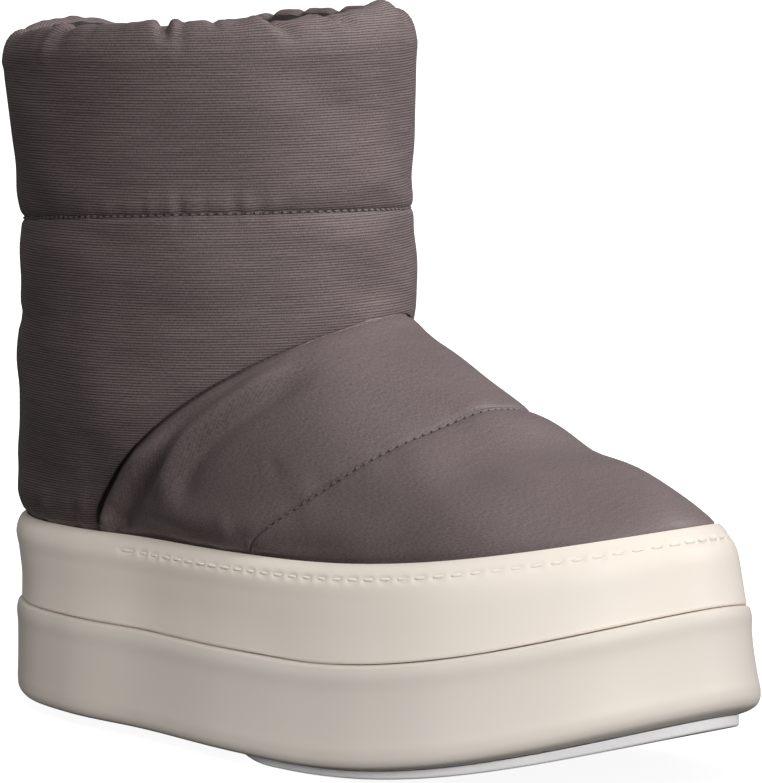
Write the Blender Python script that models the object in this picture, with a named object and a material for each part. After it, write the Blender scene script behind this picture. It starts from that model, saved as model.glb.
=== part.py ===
"""Right padded boot: quilted hollow upper, cupsole tray, platform, tread and footbed.

Sizes are in millimetres and meshes are written in metres. In the tables x runs from the heel end
to the toe, y to the wearer's left, which is the medial side, and z up from the floor.
"""

import math
from collections import namedtuple

import bmesh
import bpy
import numpy as np

for leftover in list(bpy.data.objects):
    bpy.data.objects.remove(leftover, do_unlink=True)

MM = 0.001
GAP = 0.3

# Sole: heights at the waist and the rise of each level at the toe tip.
STEP_LENGTH = 300.0
TREAD_HEIGHT = 2.7
STEP_HEIGHT = 35.0
FLOOR_HEIGHT = 47.0
LIP_HEIGHT = 65.0
LIP_TILT = 3.4
SPRING_START = 175.0
TREAD_SPRING = 19.2
STEP_SPRING = 20.4
LIP_SPRING = 13.9

TREAD_INSET_HEEL = 16.0
TREAD_INSET_BALL = 4.1
TREAD_WAIST = (125.0, 170.0)
TREAD_RIM = 7.0
LUG_PITCH = 15.0
LUG_GROOVE = 4.0
LUG_DEPTH = 1.3

FLARE_HEEL = 0.6
FLARE_TOE = 2.6
LEAN_HEEL = 0.2
LEAN_TOE = 4.6
CUP_WALL = 5.0
INSOLE_THICKNESS = 5.0

# Upper: its wall, the height of its seams and the depth of its quilting.
TUCK_WALL = 4.0
WALL = 5.5
COLLAR_WALL = 9.0
ROLL_HEIGHT = 9.0
SEAM_STATION = 75.0
SEAM_APEX = 133.0
SEAM_APEX_BEARING = 18.0
SEAM_POWER = 0.66
QUILT_STATION = 161.0
QUILT_APEX_SHARE = 0.555
QUILT_CURVE = 0.62
RING_HEIGHT = 163.6
RING_TILT = 1.6
RIM_HEIGHT = 227.6
RIM_TILT = 2.6
SHAFT_POWER = 2.05
TOE_FULLNESS = 0.18
TOE_ROUND = 6.0
TOE_EDGE = 0.36
VAMP_SAG = 1.2
TOE_PUFF = 2.4
VAMP_PUFF = 2.6
SHAFT_PUFF = 1.9
COLLAR_PUFF = 3.2
SEAM_STEP = 2.0
PUFF_SPAN = (6.0, 44.0)
LIP_CLEAR = (4.0, 14.0)
HEEL_DRAW = 6.0

# Columns of the lofts: heel to seam, seam to quilt line, quilt line to toe.
HEEL_COLUMNS = 10
WING_COLUMNS = 10
TOE_COLUMNS = 16
SEAM_CROWD = 1.5

Outline = namedtuple("Outline", "x lateral medial")
OUTLINE = [
    Outline(10.0, 24.2, 25.2),
    Outline(30.0, 37.8, 38.8),
    Outline(60.0, 45.9, 43.1),
    Outline(100.0, 48.7, 42.8),
    Outline(150.0, 54.3, 45.0),
    Outline(190.0, 55.8, 49.7),
    Outline(220.0, 54.7, 52.1),
    Outline(250.0, 48.6, 50.4),
    Outline(275.0, 35.0, 44.1),
    Outline(290.0, 18.7, 35.1),
]
TOE_TIP_Y = 10.0

# Platform wall from its foot to the step: height above the tread, set-out and share of the flare.
PlatformRow = namedtuple("PlatformRow", "rise out flare")
PLATFORM_ROWS = [
    PlatformRow(0.0, -4.6, 0.5),
    PlatformRow(0.5, -2.6, 0.75),
    PlatformRow(1.6, -1.0, 0.95),
    PlatformRow(3.2, -0.2, 1.0),
    PlatformRow(5.5, 0.0, 1.0),
    PlatformRow(10.0, 0.0, 0.72),
    PlatformRow(16.0, 0.0, 0.38),
    PlatformRow(24.0, 0.0, 0.08),
    PlatformRow(30.3, 0.0, 0.0),
    PlatformRow(31.8, -0.6, 0.0),
    PlatformRow(32.3, -1.7, 0.0),
]

# Cupsole wall from the step over the lip: share of the wall's height, set-out and share of the lean.
CupRow = namedtuple("CupRow", "share out lean")
CUP_OUTER = [
    CupRow(0.0, -2.2, 0.0),
    CupRow(0.30, -2.4, 0.2),
    CupRow(0.60, -1.6, 0.6),
    CupRow(0.84, -0.4, 1.0),
    CupRow(0.94, -0.9, 1.0),
    CupRow(1.0, -2.6, 1.0),
    CupRow(0.94, -4.4, 1.0),
    CupRow(0.84, -CUP_WALL, 1.0),
]
TUCK_SHARE = 0.84

# Shaft sections by height: x of the back and front, half widths.
Shaft = namedtuple("Shaft", "z back front lateral medial")
SHAFT = [
    Shaft(61.0, 8.0, 152.0, 49.0, 45.0),
    Shaft(99.0, 9.0, 154.0, 53.5, 52.0),
    Shaft(133.0, 12.5, 155.5, 55.5, 56.0),
    Shaft(164.0, 15.0, 156.5, 56.5, 57.0),
    Shaft(229.0, 14.5, 156.5, 56.5, 57.0),
]

# Rows of one quilted channel, closer at its seams, and of the rolled rim.
CHANNEL_ROWS = (0.0, 0.04, 0.12, 0.28, 0.5, 0.72, 0.88, 0.96, 1.0)
ROLL_ANGLES = (24.0, 48.0, 72.0, 108.0, 140.0)

MATERIALS = {
    "tread": ((0.68, 0.66, 0.67), 0.7),
    "cream": ((0.82, 0.78, 0.70), 0.6),
    "nylon": ((0.13, 0.11, 0.10), 0.7),
    "lining": ((0.16, 0.15, 0.14), 0.9),
}


def hermite(start, end, leave, arrive, u):
    """Cubic between two values with the given end slopes."""
    return (start * (1 - u) ** 2 * (1 + 2 * u) + end * u ** 2 * (3 - 2 * u)
            + leave * u * (1 - u) ** 2 - arrive * u ** 2 * (1 - u))


def closed_curve(points, samples):
    """Smooth closed curve through the points."""
    points = np.asarray(points)
    step = np.roll(points, -1, axis=0) - points
    chord = np.linalg.norm(step, axis=1)[:, None]
    before = np.roll(chord, 1, axis=0)
    slope = step / chord
    tangent = (slope * before + np.roll(slope, 1, axis=0) * chord) / (before + chord)
    u = np.linspace(0, 1, samples, endpoint=False)[:, None]
    spans = []
    for k in range(len(points)):
        after = (k + 1) % len(points)
        spans.append(hermite(points[k], points[after], tangent[k] * chord[k], tangent[after] * chord[k], u))
    return np.vstack(spans)


def table_curve(rows, key, column, at):
    """Smooth value of one column of a table at places along its key column."""
    keys = np.array([getattr(row, key) for row in rows])
    values = np.array([getattr(row, column) for row in rows])
    slopes = np.gradient(values, keys)
    k = np.clip(np.searchsorted(keys, at) - 1, 0, len(keys) - 2)
    span = keys[k + 1] - keys[k]
    u = np.clip((at - keys[k]) / span, 0, 1)
    return hermite(values[k], values[k + 1], slopes[k] * span, slopes[k + 1] * span, u)


def smooth_ramp(x, start, end):
    u = np.clip((x - start) / (end - start), 0, 1)
    return u * u * (3 - 2 * u)


lateral_side = [(row.x, -row.lateral) for row in OUTLINE]
medial_side = [(row.x, row.medial) for row in reversed(OUTLINE)]
EDGE = closed_curve([(0.0, 0.0)] + lateral_side + [(STEP_LENGTH, TOE_TIP_Y)] + medial_side, 60)
along = np.roll(EDGE, -1, axis=0) - np.roll(EDGE, 1, axis=0)
along /= np.linalg.norm(along, axis=1)[:, None]
EDGE_NORMAL = np.column_stack([along[:, 1], -along[:, 0]])
lengths = np.linalg.norm(np.roll(EDGE, -1, axis=0) - EDGE, axis=1)
EDGE_RUN = np.concatenate([[0.0], np.cumsum(lengths)[:-1]]) / lengths.sum()
TOE_INDEX = int(np.argmax(EDGE[:, 0]))


def run_at(x, lateral):
    """Place along the sole's edge, from 0 at the heel round to 1, where one side crosses a station."""
    if lateral:
        return float(np.interp(x, EDGE[:TOE_INDEX, 0], EDGE_RUN[:TOE_INDEX]))
    return float(np.interp(x, EDGE[:TOE_INDEX:-1, 0], EDGE_RUN[:TOE_INDEX:-1]))


def edge_at(run, inset):
    """Plan points on the sole's edge moved inwards."""
    point = [np.interp(run, EDGE_RUN, EDGE[:, axis], period=1) for axis in (0, 1)]
    normal = [np.interp(run, EDGE_RUN, EDGE_NORMAL[:, axis], period=1) for axis in (0, 1)]
    return np.column_stack(point) - np.column_stack(normal) * np.reshape(inset, (-1, 1))


SEAM_RUNS = (run_at(SEAM_STATION, True), run_at(SEAM_STATION, False))
QUILT_RUNS = (run_at(QUILT_STATION, True), run_at(QUILT_STATION, False))
TOE_RUN = EDGE_RUN[TOE_INDEX]
# Stretches of columns round the sole's edge. A stretch with a crowd is denser at its start or its end.
Stretch = namedtuple("Stretch", "run columns crowd_start crowd_end")
STRETCHES = [
    Stretch(0.0, HEEL_COLUMNS, 1.0, 1.0),
    Stretch(SEAM_RUNS[0], WING_COLUMNS, SEAM_CROWD, 1.0),
    Stretch(QUILT_RUNS[0], TOE_COLUMNS, 1.0, 1.0),
    Stretch(TOE_RUN, TOE_COLUMNS, 1.0, 1.0),
    Stretch(QUILT_RUNS[1], WING_COLUMNS, 1.0, SEAM_CROWD),
    Stretch(SEAM_RUNS[1], HEEL_COLUMNS, 1.0, 1.0),
]


def stretch_runs(stretch, end):
    share = np.linspace(0, 1, stretch.columns, endpoint=False)
    share = 1 - (1 - share ** stretch.crowd_start) ** stretch.crowd_end
    return stretch.run + (end - stretch.run) * share


ENDS = [stretch.run for stretch in STRETCHES[1:]] + [1.0]
RUN = np.concatenate([stretch_runs(stretch, end) for stretch, end in zip(STRETCHES, ENDS)])
COUNT = len(RUN)
STATION = edge_at(RUN, 0.0)[:, 0]


def toe_rise(x, rise):
    return rise * np.clip((x - SPRING_START) / (STEP_LENGTH - SPRING_START), 0, None) ** 2


def lip_at(x):
    return LIP_HEIGHT + LIP_TILT * (x / STEP_LENGTH - 0.5) + toe_rise(x, LIP_SPRING)


def step_at(x):
    return STEP_HEIGHT + toe_rise(x, STEP_SPRING)


def floor_at(x):
    return FLOOR_HEIGHT + toe_rise(x, (STEP_SPRING + LIP_SPRING) / 2)


FLARE = FLARE_HEEL + (FLARE_TOE - FLARE_HEEL) * STATION / STEP_LENGTH
TREAD_INSET = TREAD_INSET_HEEL + (TREAD_INSET_BALL - TREAD_INSET_HEEL) * smooth_ramp(STATION, *TREAD_WAIST)
LEAN = LEAN_HEEL + (LEAN_TOE - LEAN_HEEL) * smooth_ramp(STATION, 120.0, 290.0)


def ring(inset, height):
    """One loop of the sole: the edge moved inwards, at a height given as a function of x."""
    plan = edge_at(RUN, inset)
    return np.column_stack([plan, height(plan[:, 0])])


def cup_height(share):
    return lambda x: step_at(x) + GAP + (lip_at(x) - step_at(x) - GAP) * share


def tread_rings():
    levels = [(0.8, 0.0, TREAD_SPRING), (0.0, 0.9, TREAD_SPRING), (0.0, TREAD_HEIGHT - GAP, STEP_SPRING)]
    return [ring(TREAD_INSET + extra, lambda x, z=z, rise=rise: z + toe_rise(x, rise)) for extra, z, rise in levels]


def platform_rings():
    rings = []
    for row in PLATFORM_ROWS:
        level = TREAD_HEIGHT + row.rise
        rings.append(ring(-row.out - row.flare * FLARE, lambda x, z=level: z + toe_rise(x, STEP_SPRING)))
    return rings


def cup_rings():
    rings = [ring(-row.out + row.lean * LEAN, cup_height(row.share)) for row in CUP_OUTER]
    return rings + [ring(CUP_WALL + LEAN, floor_at)]


def insole_rings():
    inset = CUP_WALL + LEAN + GAP + TUCK_WALL + GAP
    levels = [(0.0, 0.0), (0.0, INSOLE_THICKNESS - 1.0), (1.2, INSOLE_THICKNESS)]
    return [ring(inset + extra, lambda x, z=z: floor_at(x) + GAP + z) for extra, z in levels]


def shaft_section(z, bearing):
    """Plan points of the shaft's oval at heights and bearings, bearing 0 to the front and -90 to the lateral side."""
    back, front = (table_curve(SHAFT, "z", column, z) for column in ("back", "front"))
    lateral, medial = (table_curve(SHAFT, "z", column, z) for column in ("lateral", "medial"))
    ahead, across = np.cos(bearing), np.sin(bearing)
    reach = (front - back) / 2 * np.sign(ahead) * np.abs(ahead) ** (2 / SHAFT_POWER)
    width = np.where(across < 0, lateral, medial) * np.sign(across) * np.abs(across) ** (2 / SHAFT_POWER)
    return np.column_stack([(front + back) / 2 + reach, width])


def pillow(u):
    """Cross section of a quilted channel: steep at its seams, full between them."""
    return np.clip(np.sin(np.pi * u), 0, None) ** 0.6


def level(normals):
    """Normals turned level."""
    flat = normals * (1.0, 1.0, 0.0)
    return flat / np.linalg.norm(flat, axis=1)[:, None]


def lathe_normals(rows):
    """Outward normals of a stack of loops. A collapsed row takes the normal of the row above it."""
    round_step = np.roll(rows, -1, axis=1) - np.roll(rows, 1, axis=1)
    up_step = np.gradient(rows, axis=0)
    normals = np.cross(round_step, up_step)
    size = np.linalg.norm(normals, axis=2)
    for k in range(len(rows) - 2, -1, -1):
        lost = size[k] < 0.5
        normals[k][lost] = normals[k + 1][lost]
        size[k][lost] = size[k + 1][lost]
    return normals / size[..., None]


FOOT_PLAN = edge_at(RUN, CUP_WALL + LEAN + GAP)
FOOT_Z = cup_height(TUCK_SHARE)(FOOT_PLAN[:, 0])
FOOT_ROW = np.column_stack([FOOT_PLAN, FOOT_Z])
BEARING = np.interp(RUN, (0.0, SEAM_RUNS[0], TOE_RUN, SEAM_RUNS[1], 1.0),
                    np.radians((-180.0, -90.0, 0.0, 90.0, 180.0)))
IN_VAMP = (RUN > SEAM_RUNS[0]) & (RUN < SEAM_RUNS[1])


def across_vamp(values):
    """Values round the heel, carried straight from one end of the vamp seam to the other."""
    return np.where(IN_VAMP, np.interp(RUN, SEAM_RUNS, np.interp(SEAM_RUNS, RUN, values)), values)


BASE_Z = across_vamp(FOOT_Z)
apex = math.radians(SEAM_APEX_BEARING)
turn = np.where(BEARING < apex, apex - BEARING, BEARING - apex)
reach = np.where(BEARING < apex, apex + math.pi / 2, math.pi / 2 - apex)
SEAM_RISE = np.clip(1 - (turn / reach) ** 2, 0, 1) ** SEAM_POWER * IN_VAMP
SEAM_Z = BASE_Z + (SEAM_APEX - BASE_Z) * SEAM_RISE
RING_Z = RING_HEIGHT + RING_TILT * np.cos(BEARING)
RIM_Z = RIM_HEIGHT + RIM_TILT * np.cos(BEARING)
PULL = FOOT_PLAN - shaft_section(BASE_Z, BEARING)
PULL = np.column_stack([across_vamp(PULL[:, 0]), across_vamp(PULL[:, 1])])


def shaft_row(z):
    """Loop of the shaft at a height for each column, drawn in to the sole's edge at the heel."""
    rise = np.clip((z - BASE_Z) / (RING_Z - BASE_Z), 0, 1)[:, None]
    draw = (1 - rise) ** HEEL_DRAW * (1 + HEEL_DRAW * rise)
    return np.column_stack([shaft_section(z, BEARING) + PULL * draw, z])


SEAM_ROW = shaft_row(SEAM_Z)
VAMP_SPAN = np.linalg.norm(SEAM_ROW - FOOT_ROW, axis=1)
QUILT = QUILT_APEX_SHARE * np.clip(np.sin(np.pi * np.interp(RUN, QUILT_RUNS, (0.0, 1.0))), 0, None) ** QUILT_CURVE


def vamp_row(share):
    """Loop of the vamp at a share of the way from the sole's edge to the seam for each column."""
    row = FOOT_ROW + (SEAM_ROW - FOOT_ROW) * share[:, None]
    rounded = (1 - (1 - share) ** TOE_ROUND) ** TOE_EDGE
    lift = TOE_FULLNESS * rounded + (1 - TOE_FULLNESS) * share ** VAMP_SAG
    row[:, 2] = FOOT_Z + (SEAM_Z - FOOT_Z) * lift
    return row


def upper_rings():
    """Loops of the hollow upper, up its outside, over the rolled rim and down its inside."""
    base = [np.column_stack([FOOT_PLAN, floor_at(FOOT_PLAN[:, 0]) + GAP])]
    lift = [np.zeros(COUNT)]
    bands = [
        (lambda u: vamp_row(QUILT * u), TOE_PUFF, VAMP_SPAN * QUILT),
        (lambda u: vamp_row(QUILT + (1 - QUILT) * u), VAMP_PUFF, VAMP_SPAN * (1 - QUILT)),
        (lambda u: shaft_row(SEAM_Z + (RING_Z - SEAM_Z) * u), SHAFT_PUFF, RING_Z - SEAM_Z),
    ]
    step = SEAM_STEP / 2 * smooth_ramp(VAMP_SPAN, *PUFF_SPAN) * IN_VAMP
    for number, (row_at, puff, span) in enumerate(bands):
        for u in CHANNEL_ROWS:
            if number == 1 and u == 0.0:
                continue
            base.append(row_at(u))
            lift.append(puff * pillow(u) * smooth_ramp(span, *PUFF_SPAN))
    band = len(CHANNEL_ROWS)
    quilt_row, seam_row, ring_row = band, 2 * band - 1, 3 * band - 1
    lift[seam_row] = lift[seam_row] - step
    for k, u in enumerate(CHANNEL_ROWS):
        lift[seam_row + 1 + k] = lift[seam_row + 1 + k] + step * (1 - u) ** 3

    for u in CHANNEL_ROWS[1:]:
        base.append(shaft_row(RING_Z + (RIM_Z - ROLL_HEIGHT - RING_Z) * u))
        lift.append(np.full(COUNT, COLLAR_PUFF * (pillow(u * 0.86) if u < 1 else 0.55)))
    base, lift = np.array(base), np.array(lift)
    lift *= smooth_ramp(base[:, :, 2] - FOOT_Z, *LIP_CLEAR)
    normals = lathe_normals(base)
    for k in (0, -1):
        normals[k] = level(normals[1 if k == 0 else -1])
    outer = base + normals * lift[..., None]

    top_row = len(base) - 1
    rim = []
    for angle in np.radians(ROLL_ANGLES):
        across = (lift[-1] - COLLAR_WALL) / 2 + (lift[-1] + COLLAR_WALL) / 2 * math.cos(angle)
        rim.append(base[-1] + normals[-1] * across[:, None] + (0.0, 0.0, ROLL_HEIGHT * math.sin(angle)))

    inner_rows = [
        (top_row, COLLAR_WALL), (top_row - 4, COLLAR_WALL), (ring_row + 1, WALL + 1.5), (ring_row - 3, WALL),
        (seam_row + 4, WALL), (seam_row + 1, WALL), (seam_row - 4, WALL), (quilt_row, WALL),
        (quilt_row - 4, WALL), (quilt_row - 6, WALL - 0.5), (1, TUCK_WALL), (0, TUCK_WALL),
    ]
    inner = [base[k] - normals[k] * wall for k, wall in inner_rows]
    return list(outer) + rim + inner


def solid(name, rings, material, capped):
    """Closed mesh through a stack of loops, with strip caps or joined end to end. Equal points are one vertex."""
    points = []
    index = {}
    ids = []
    for loop in rings:
        loop_ids = []
        for point in loop:
            key = tuple(np.round(point, 4))
            if key not in index:
                index[key] = len(points)
                points.append(point)
            loop_ids.append(index[key])
        ids.append(loop_ids)
    faces = []
    pairs = list(zip(ids, ids[1:])) + ([] if capped else [(ids[-1], ids[0])])
    for low, high in pairs:
        for k in range(COUNT):
            n = (k + 1) % COUNT
            faces.append((low[k], low[n], high[n], high[k]))
    if capped:
        for loop, flip in ((ids[0], True), (ids[-1], False)):
            for k in range(COUNT // 2):
                strip = (loop[k], loop[k + 1], loop[(-k - 1) % COUNT], loop[-k % COUNT])
                faces.append(strip[::-1] if flip else strip)
    mesh = bmesh.new()
    verts = [mesh.verts.new((np.array(point) - ORIGIN) * MM) for point in points]
    for face in faces:
        corners = list(dict.fromkeys(face))
        if len(corners) > 2:
            mesh.faces.new([verts[c] for c in corners])
    bmesh.ops.recalc_face_normals(mesh, faces=mesh.faces)
    bmesh.ops.triangulate(mesh, faces=mesh.faces)
    data = bpy.data.meshes.new(name)
    mesh.to_mesh(data)
    mesh.free()
    part = bpy.data.objects.new(name, data)
    bpy.context.collection.objects.link(part)
    data.materials.append(material)
    return part


def paint(name):
    colour, roughness = MATERIALS[name]
    material = bpy.data.materials.new(name)
    material.use_nodes = True
    surface = material.node_tree.nodes["Principled BSDF"]
    surface.inputs["Base Color"].default_value = (*colour, 1.0)
    surface.inputs["Roughness"].default_value = roughness
    surface.inputs["Metallic"].default_value = 0.0
    return material


def cut_lugs(tread):
    """Cut the grooves between the tread's cross bars, short of its rim."""
    cutter = bmesh.new()
    for x in np.arange(LUG_PITCH * 2.5, STEP_LENGTH - LUG_PITCH, LUG_PITCH):
        inset = float(np.interp(x, STATION[:COUNT // 2], TREAD_INSET[:COUNT // 2])) + TREAD_RIM
        right, left = (edge_at(np.array([run_at(x, lateral)]), inset)[0, 1] for lateral in (True, False))
        top = LUG_DEPTH + float(toe_rise(x, TREAD_SPRING))
        centre = (np.array((x, (left + right) / 2, (top - 5.0) / 2)) - ORIGIN) * MM
        made = bmesh.ops.create_cube(cutter, size=1.0)["verts"]
        for vert in made:
            size = np.array((LUG_GROOVE, left - right, top + 5.0)) * MM
            vert.co = np.array(vert.co) * size + centre
    data = bpy.data.meshes.new("lug_cutter")
    cutter.to_mesh(data)
    cutter.free()
    tool = bpy.data.objects.new("lug_cutter", data)
    bpy.context.collection.objects.link(tool)
    cut = tread.modifiers.new("lugs", "BOOLEAN")
    cut.object = tool
    cut.operation = "DIFFERENCE"
    cut.solver = "EXACT"
    bpy.context.view_layer.update()
    finished = bpy.data.meshes.new_from_object(tread.evaluated_get(bpy.context.evaluated_depsgraph_get()))
    tread.modifiers.clear()
    tread.data = finished
    bpy.data.objects.remove(tool, do_unlink=True)


PIECES = {
    "outsole": tread_rings(),
    "platform": platform_rings(),
    "cupsole": cup_rings(),
    "insole": insole_rings(),
    "upper": upper_rings(),
}
every_point = np.vstack([loop for rings in PIECES.values() for loop in rings])
middle = (every_point.min(axis=0) + every_point.max(axis=0)) / 2
ORIGIN = np.array((middle[0], middle[1], 0.0))

outsole = solid("outsole", PIECES["outsole"], paint("tread"), True)
cut_lugs(outsole)
cream = paint("cream")
solid("platform", PIECES["platform"], cream, True)
solid("cupsole", PIECES["cupsole"], cream, True)
solid("insole", PIECES["insole"], paint("lining"), True)
solid("upper", PIECES["upper"], paint("nylon"), False)
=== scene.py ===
"""Looks of the right padded boot: quilted nylon upper, stitched cupsole, platform, tread and footbed."""

import math
from collections import namedtuple

import bmesh
import bpy
import numpy as np
from mathutils import Matrix, Vector
from mathutils.kdtree import KDTree


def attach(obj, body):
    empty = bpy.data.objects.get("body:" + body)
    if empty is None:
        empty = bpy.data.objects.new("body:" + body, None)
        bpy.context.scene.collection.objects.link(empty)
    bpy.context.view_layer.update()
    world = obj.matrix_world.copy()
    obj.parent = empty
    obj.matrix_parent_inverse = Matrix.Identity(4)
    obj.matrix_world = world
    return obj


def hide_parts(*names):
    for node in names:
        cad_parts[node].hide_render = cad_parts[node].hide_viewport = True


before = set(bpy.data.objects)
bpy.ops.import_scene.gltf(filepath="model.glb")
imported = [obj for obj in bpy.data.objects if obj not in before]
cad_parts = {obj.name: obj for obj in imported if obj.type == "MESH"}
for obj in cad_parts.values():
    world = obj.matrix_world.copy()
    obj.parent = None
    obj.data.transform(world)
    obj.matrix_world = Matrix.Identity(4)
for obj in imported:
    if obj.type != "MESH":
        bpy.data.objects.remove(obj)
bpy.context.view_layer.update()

MM = 0.001
GAP = 0.3
ORIGIN = np.array((151.012, 0.250, 0.0))

# Sizes of the part, in millimetres, x from the heel end, y to the medial side, z up from the floor.
STEP_LENGTH = 300.0
TREAD_HEIGHT = 2.7
STEP_HEIGHT = 35.0
FLOOR_HEIGHT = 47.0
LIP_HEIGHT = 65.0
LIP_TILT = 3.4
SPRING_START = 175.0
TREAD_SPRING = 19.2
STEP_SPRING = 20.4
LIP_SPRING = 13.9
TREAD_INSET_HEEL = 16.0
TREAD_INSET_BALL = 4.1
TREAD_WAIST = (125.0, 170.0)
TREAD_RIM = 7.0
LUG_PITCH = 15.0
LUG_GROOVE = 4.0
LUG_DEPTH = 1.3
LUG_TAPER = 0.7
LUG_OVERCUT = 1.0
LUG_FIRST = 37.5
LUG_SHARP_ANGLE = 35.0
FLARE_HEEL = 0.6
FLARE_TOE = 2.6
LEAN_HEEL = 0.2
LEAN_TOE = 4.6
CUP_WALL = 5.0
TUCK_WALL = 4.0
WALL = 5.5
COLLAR_WALL = 10.5
ROLL_HEIGHT = 12.0
SEAM_STATION = 75.0
SEAM_APEX = 133.0
SEAM_APEX_BEARING = 18.0
SEAM_POWER = 0.66
QUILT_STATION = 161.0
QUILT_APEX_SHARE = 0.581
QUILT_CURVE = 0.60
RING_HEIGHT = 163.6
RING_TILT = 1.6
RING_CROWN = 3.3
RING_CROWN_BEARING = -47.0
RING_CROWN_POWER = 1.2
RING_WALL = 7.0
SHAFT_POWER = 2.05
TOE_FULLNESS = 0.18
TOE_ROUND = 6.0
TOE_EDGE = 0.36
VAMP_SAG = 1.27
TOE_PUFF = 1.8
VAMP_PUFF = 2.6
SHAFT_PUFF = 1.9
COLLAR_PUFF = 0.9
COLLAR_TURN = 0.04
COLLAR_SPREAD = 2.6
COLLAR_SPREAD_POWER = 1.3
SEAM_STEP = 2.0
SEAM_STEP_POWER = 3
PUFF_SPAN = (6.0, 44.0)
PILLOW_POWER = 0.45
LIP_CLEAR = (4.0, 14.0)
LEAN_STATIONS = (120.0, 290.0)
HEEL_DRAW = 6.0
TUCK_SHARE = 0.84
FOOT_SMOOTHING = 12
LEAST_QUILT = 1e-6
TOE_TIP_Y = 10.0
TOE_LIP_ROUND = 0.68
TOE_LIP_STATIONS = (215.0, 285.0)
TOE_LIP_FROM = 0.55

Outline = namedtuple("Outline", "x lateral medial")
OUTLINE = [Outline(*row) for row in (
    (10.0, 25.4, 25.2), (30.0, 39.2, 38.8), (60.0, 46.8, 43.1), (100.0, 48.7, 42.8),
    (150.0, 54.3, 45.0), (190.0, 55.8, 49.7), (220.0, 54.7, 52.1), (250.0, 48.6, 51.0),
    (275.0, 35.0, 45.3), (290.0, 18.7, 36.7),
)]

# Profiles of the sole. A scale evens out their columns before a smooth curve is drawn through them.
PLATFORM_SAMPLES = 5
PLATFORM_SCALE = (1.0, 1.0, 4.0)
PLATFORM_INSETS = (8.0, 1.2)
INSOLE_ROWS = [(1.0, 0.0), (0.0, 0.0), (0.0, 3.4), (0.15, 4.2), (0.6, 4.8), (1.3, 5.0), (3.0, 5.0)]
TREAD_ROWS = [(3.0, 0.0), (0.8, 0.0), (0.35, 0.15), (0.1, 0.45), (0.0, 0.9)]
TREAD_TOP_INSETS = (0.0, 1.0)
PlatformRow = namedtuple("PlatformRow", "rise out flare")
PLATFORM_ROWS = [PlatformRow(*row) for row in (
    (0.0, -4.6, 0.5), (0.5, -2.6, 0.75), (1.6, -1.0, 0.95), (3.2, -0.2, 1.0), (5.5, 0.0, 1.0),
    (10.0, 0.0, 0.72), (16.0, 0.0, 0.38), (24.0, 0.0, 0.08), (30.3, 0.0, 0.0), (31.8, -0.6, 0.0),
    (32.3, -1.7, 0.0),
)]

CUP_SAMPLES = 9
CUP_SCALE = (30.0, 1.0, 10.0)
CUP_FOOT_INSETS = (3.2, 2.45)
CUP_LOWEST = 0.004
CUP_CORNER = 1.0
OUTER_CUP_SPANS = 7
CupRow = namedtuple("CupRow", "share out lean")
CUP_ROWS = [CupRow(*row) for row in (
    (0.0, -1.5, 0.0), (0.30, -1.7, 0.2), (0.60, -0.9, 0.6), (0.84, -0.2, 1.0), (0.91, -0.8, 1.0),
    (0.96, -1.7, 1.0), (0.99, -2.9, 1.0), (1.0, -3.8, 1.0), (0.985, -4.6, 1.0),
    (0.95, -CUP_WALL, 1.0), (0.84, -CUP_WALL, 1.0),
)]

Shaft = namedtuple("Shaft", "z back front lateral medial")
SHAFT = [Shaft(*row) for row in (
    (61.0, 8.0, 152.0, 49.0, 45.0), (99.0, 9.0, 154.0, 53.5, 52.0),
    (133.0, 12.5, 155.5, 55.5, 56.0), (164.0, 15.0, 156.5, 56.5, 57.0),
    (229.0, 14.5, 156.5, 56.5, 57.0),
)]

# Cloth: millimetres for a radian round the shaft and over the vamp, and the tilt of the vamp's weave.
SHAFT_RADIUS = 62.0
VAMP_RADIUS = 52.0
VAMP_WEAVE_TILT = 28.0
VAMP_AXIS_Z = LIP_HEIGHT - 6.0

# Cloth drawn in along its sewn lines. It is free to move above the lip, from the first height to the second.
Crease = namedtuple("Crease", "depth reach")
SEAM_TUCK = Crease(2.5, 1.2)
SEAM_TURN = Crease(1.2, 0.7)
QUILT_CREASE = Crease(0.95, 0.8)
QUILT_SHOULDER = Crease(0.12, 2.6)
RING_CREASE = Crease(0.8, 0.7)
SEAM_GUARD = Crease(0.9, 2.2)
FREE_OF_LIP = (1.5, 9.0)
SEWN_REACH = 30.0
NORMAL_ROUNDS = 3
CUP_NORMAL_ROUNDS = 1

# Overhang of the cloth on the lip: its size, and the heights over the lip where it begins and ends.
Overhang = namedtuple("Overhang", "out begins ends")
SIDE_OVERHANG = Overhang(1.8, (-0.6, 2.4), (5.0, 18.0))
TOE_OVERHANG = Overhang(1.8, (-3.0, 0.2), (0.6, 14.0))
TOE_OVERHANG_STATIONS = (215.0, 280.0)

# Hollow above the heel: angles in degrees, heights where it begins, and where it is deeper by a share.
Hollow = namedtuple("Hollow", "depth bearing spread begins deeper middle half")
HEEL_HOLLOW = Hollow(1.3, -137.0, 38.0, (66.0, 96.0), 0.9, 135.0, 24.0)

# Small waves of the cloth and of the sole's wall: size, seed, length and stretch along x, y and z.
RIPPLE_WAVES = 14
RIPPLE_LENGTHS = (0.7, 1.5)
Wave = namedtuple("Wave", "size seed length stretch", defaults=((1.0, 1.0, 1.0),))
SWELL = [Wave(0.55, 11, 46.0, (1.4, 1.4, 0.9)), Wave(0.22, 12, 21.0, (1.5, 1.5, 0.8))]
ROLL_SWELL = 0.4
SWELL_CLEAR = (0.5, 10.0)
GATHERS = [Wave(0.14, 13, 7.0), Wave(0.22, 14, 17.0)]
GATHER_DEPTH = (3.0, 17.0)
QUILT_PUCKER = [Wave(0.16, 9, 7.0)]
QUILT_LENGTH = 190.0
SEAM_PUCKER = [Wave(0.1, 10, 10.0)]
SOLE_WANDER = [Wave(0.16, 21, 40.0)]
WANDER_CLEAR = (0.0, 3.0)

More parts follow.
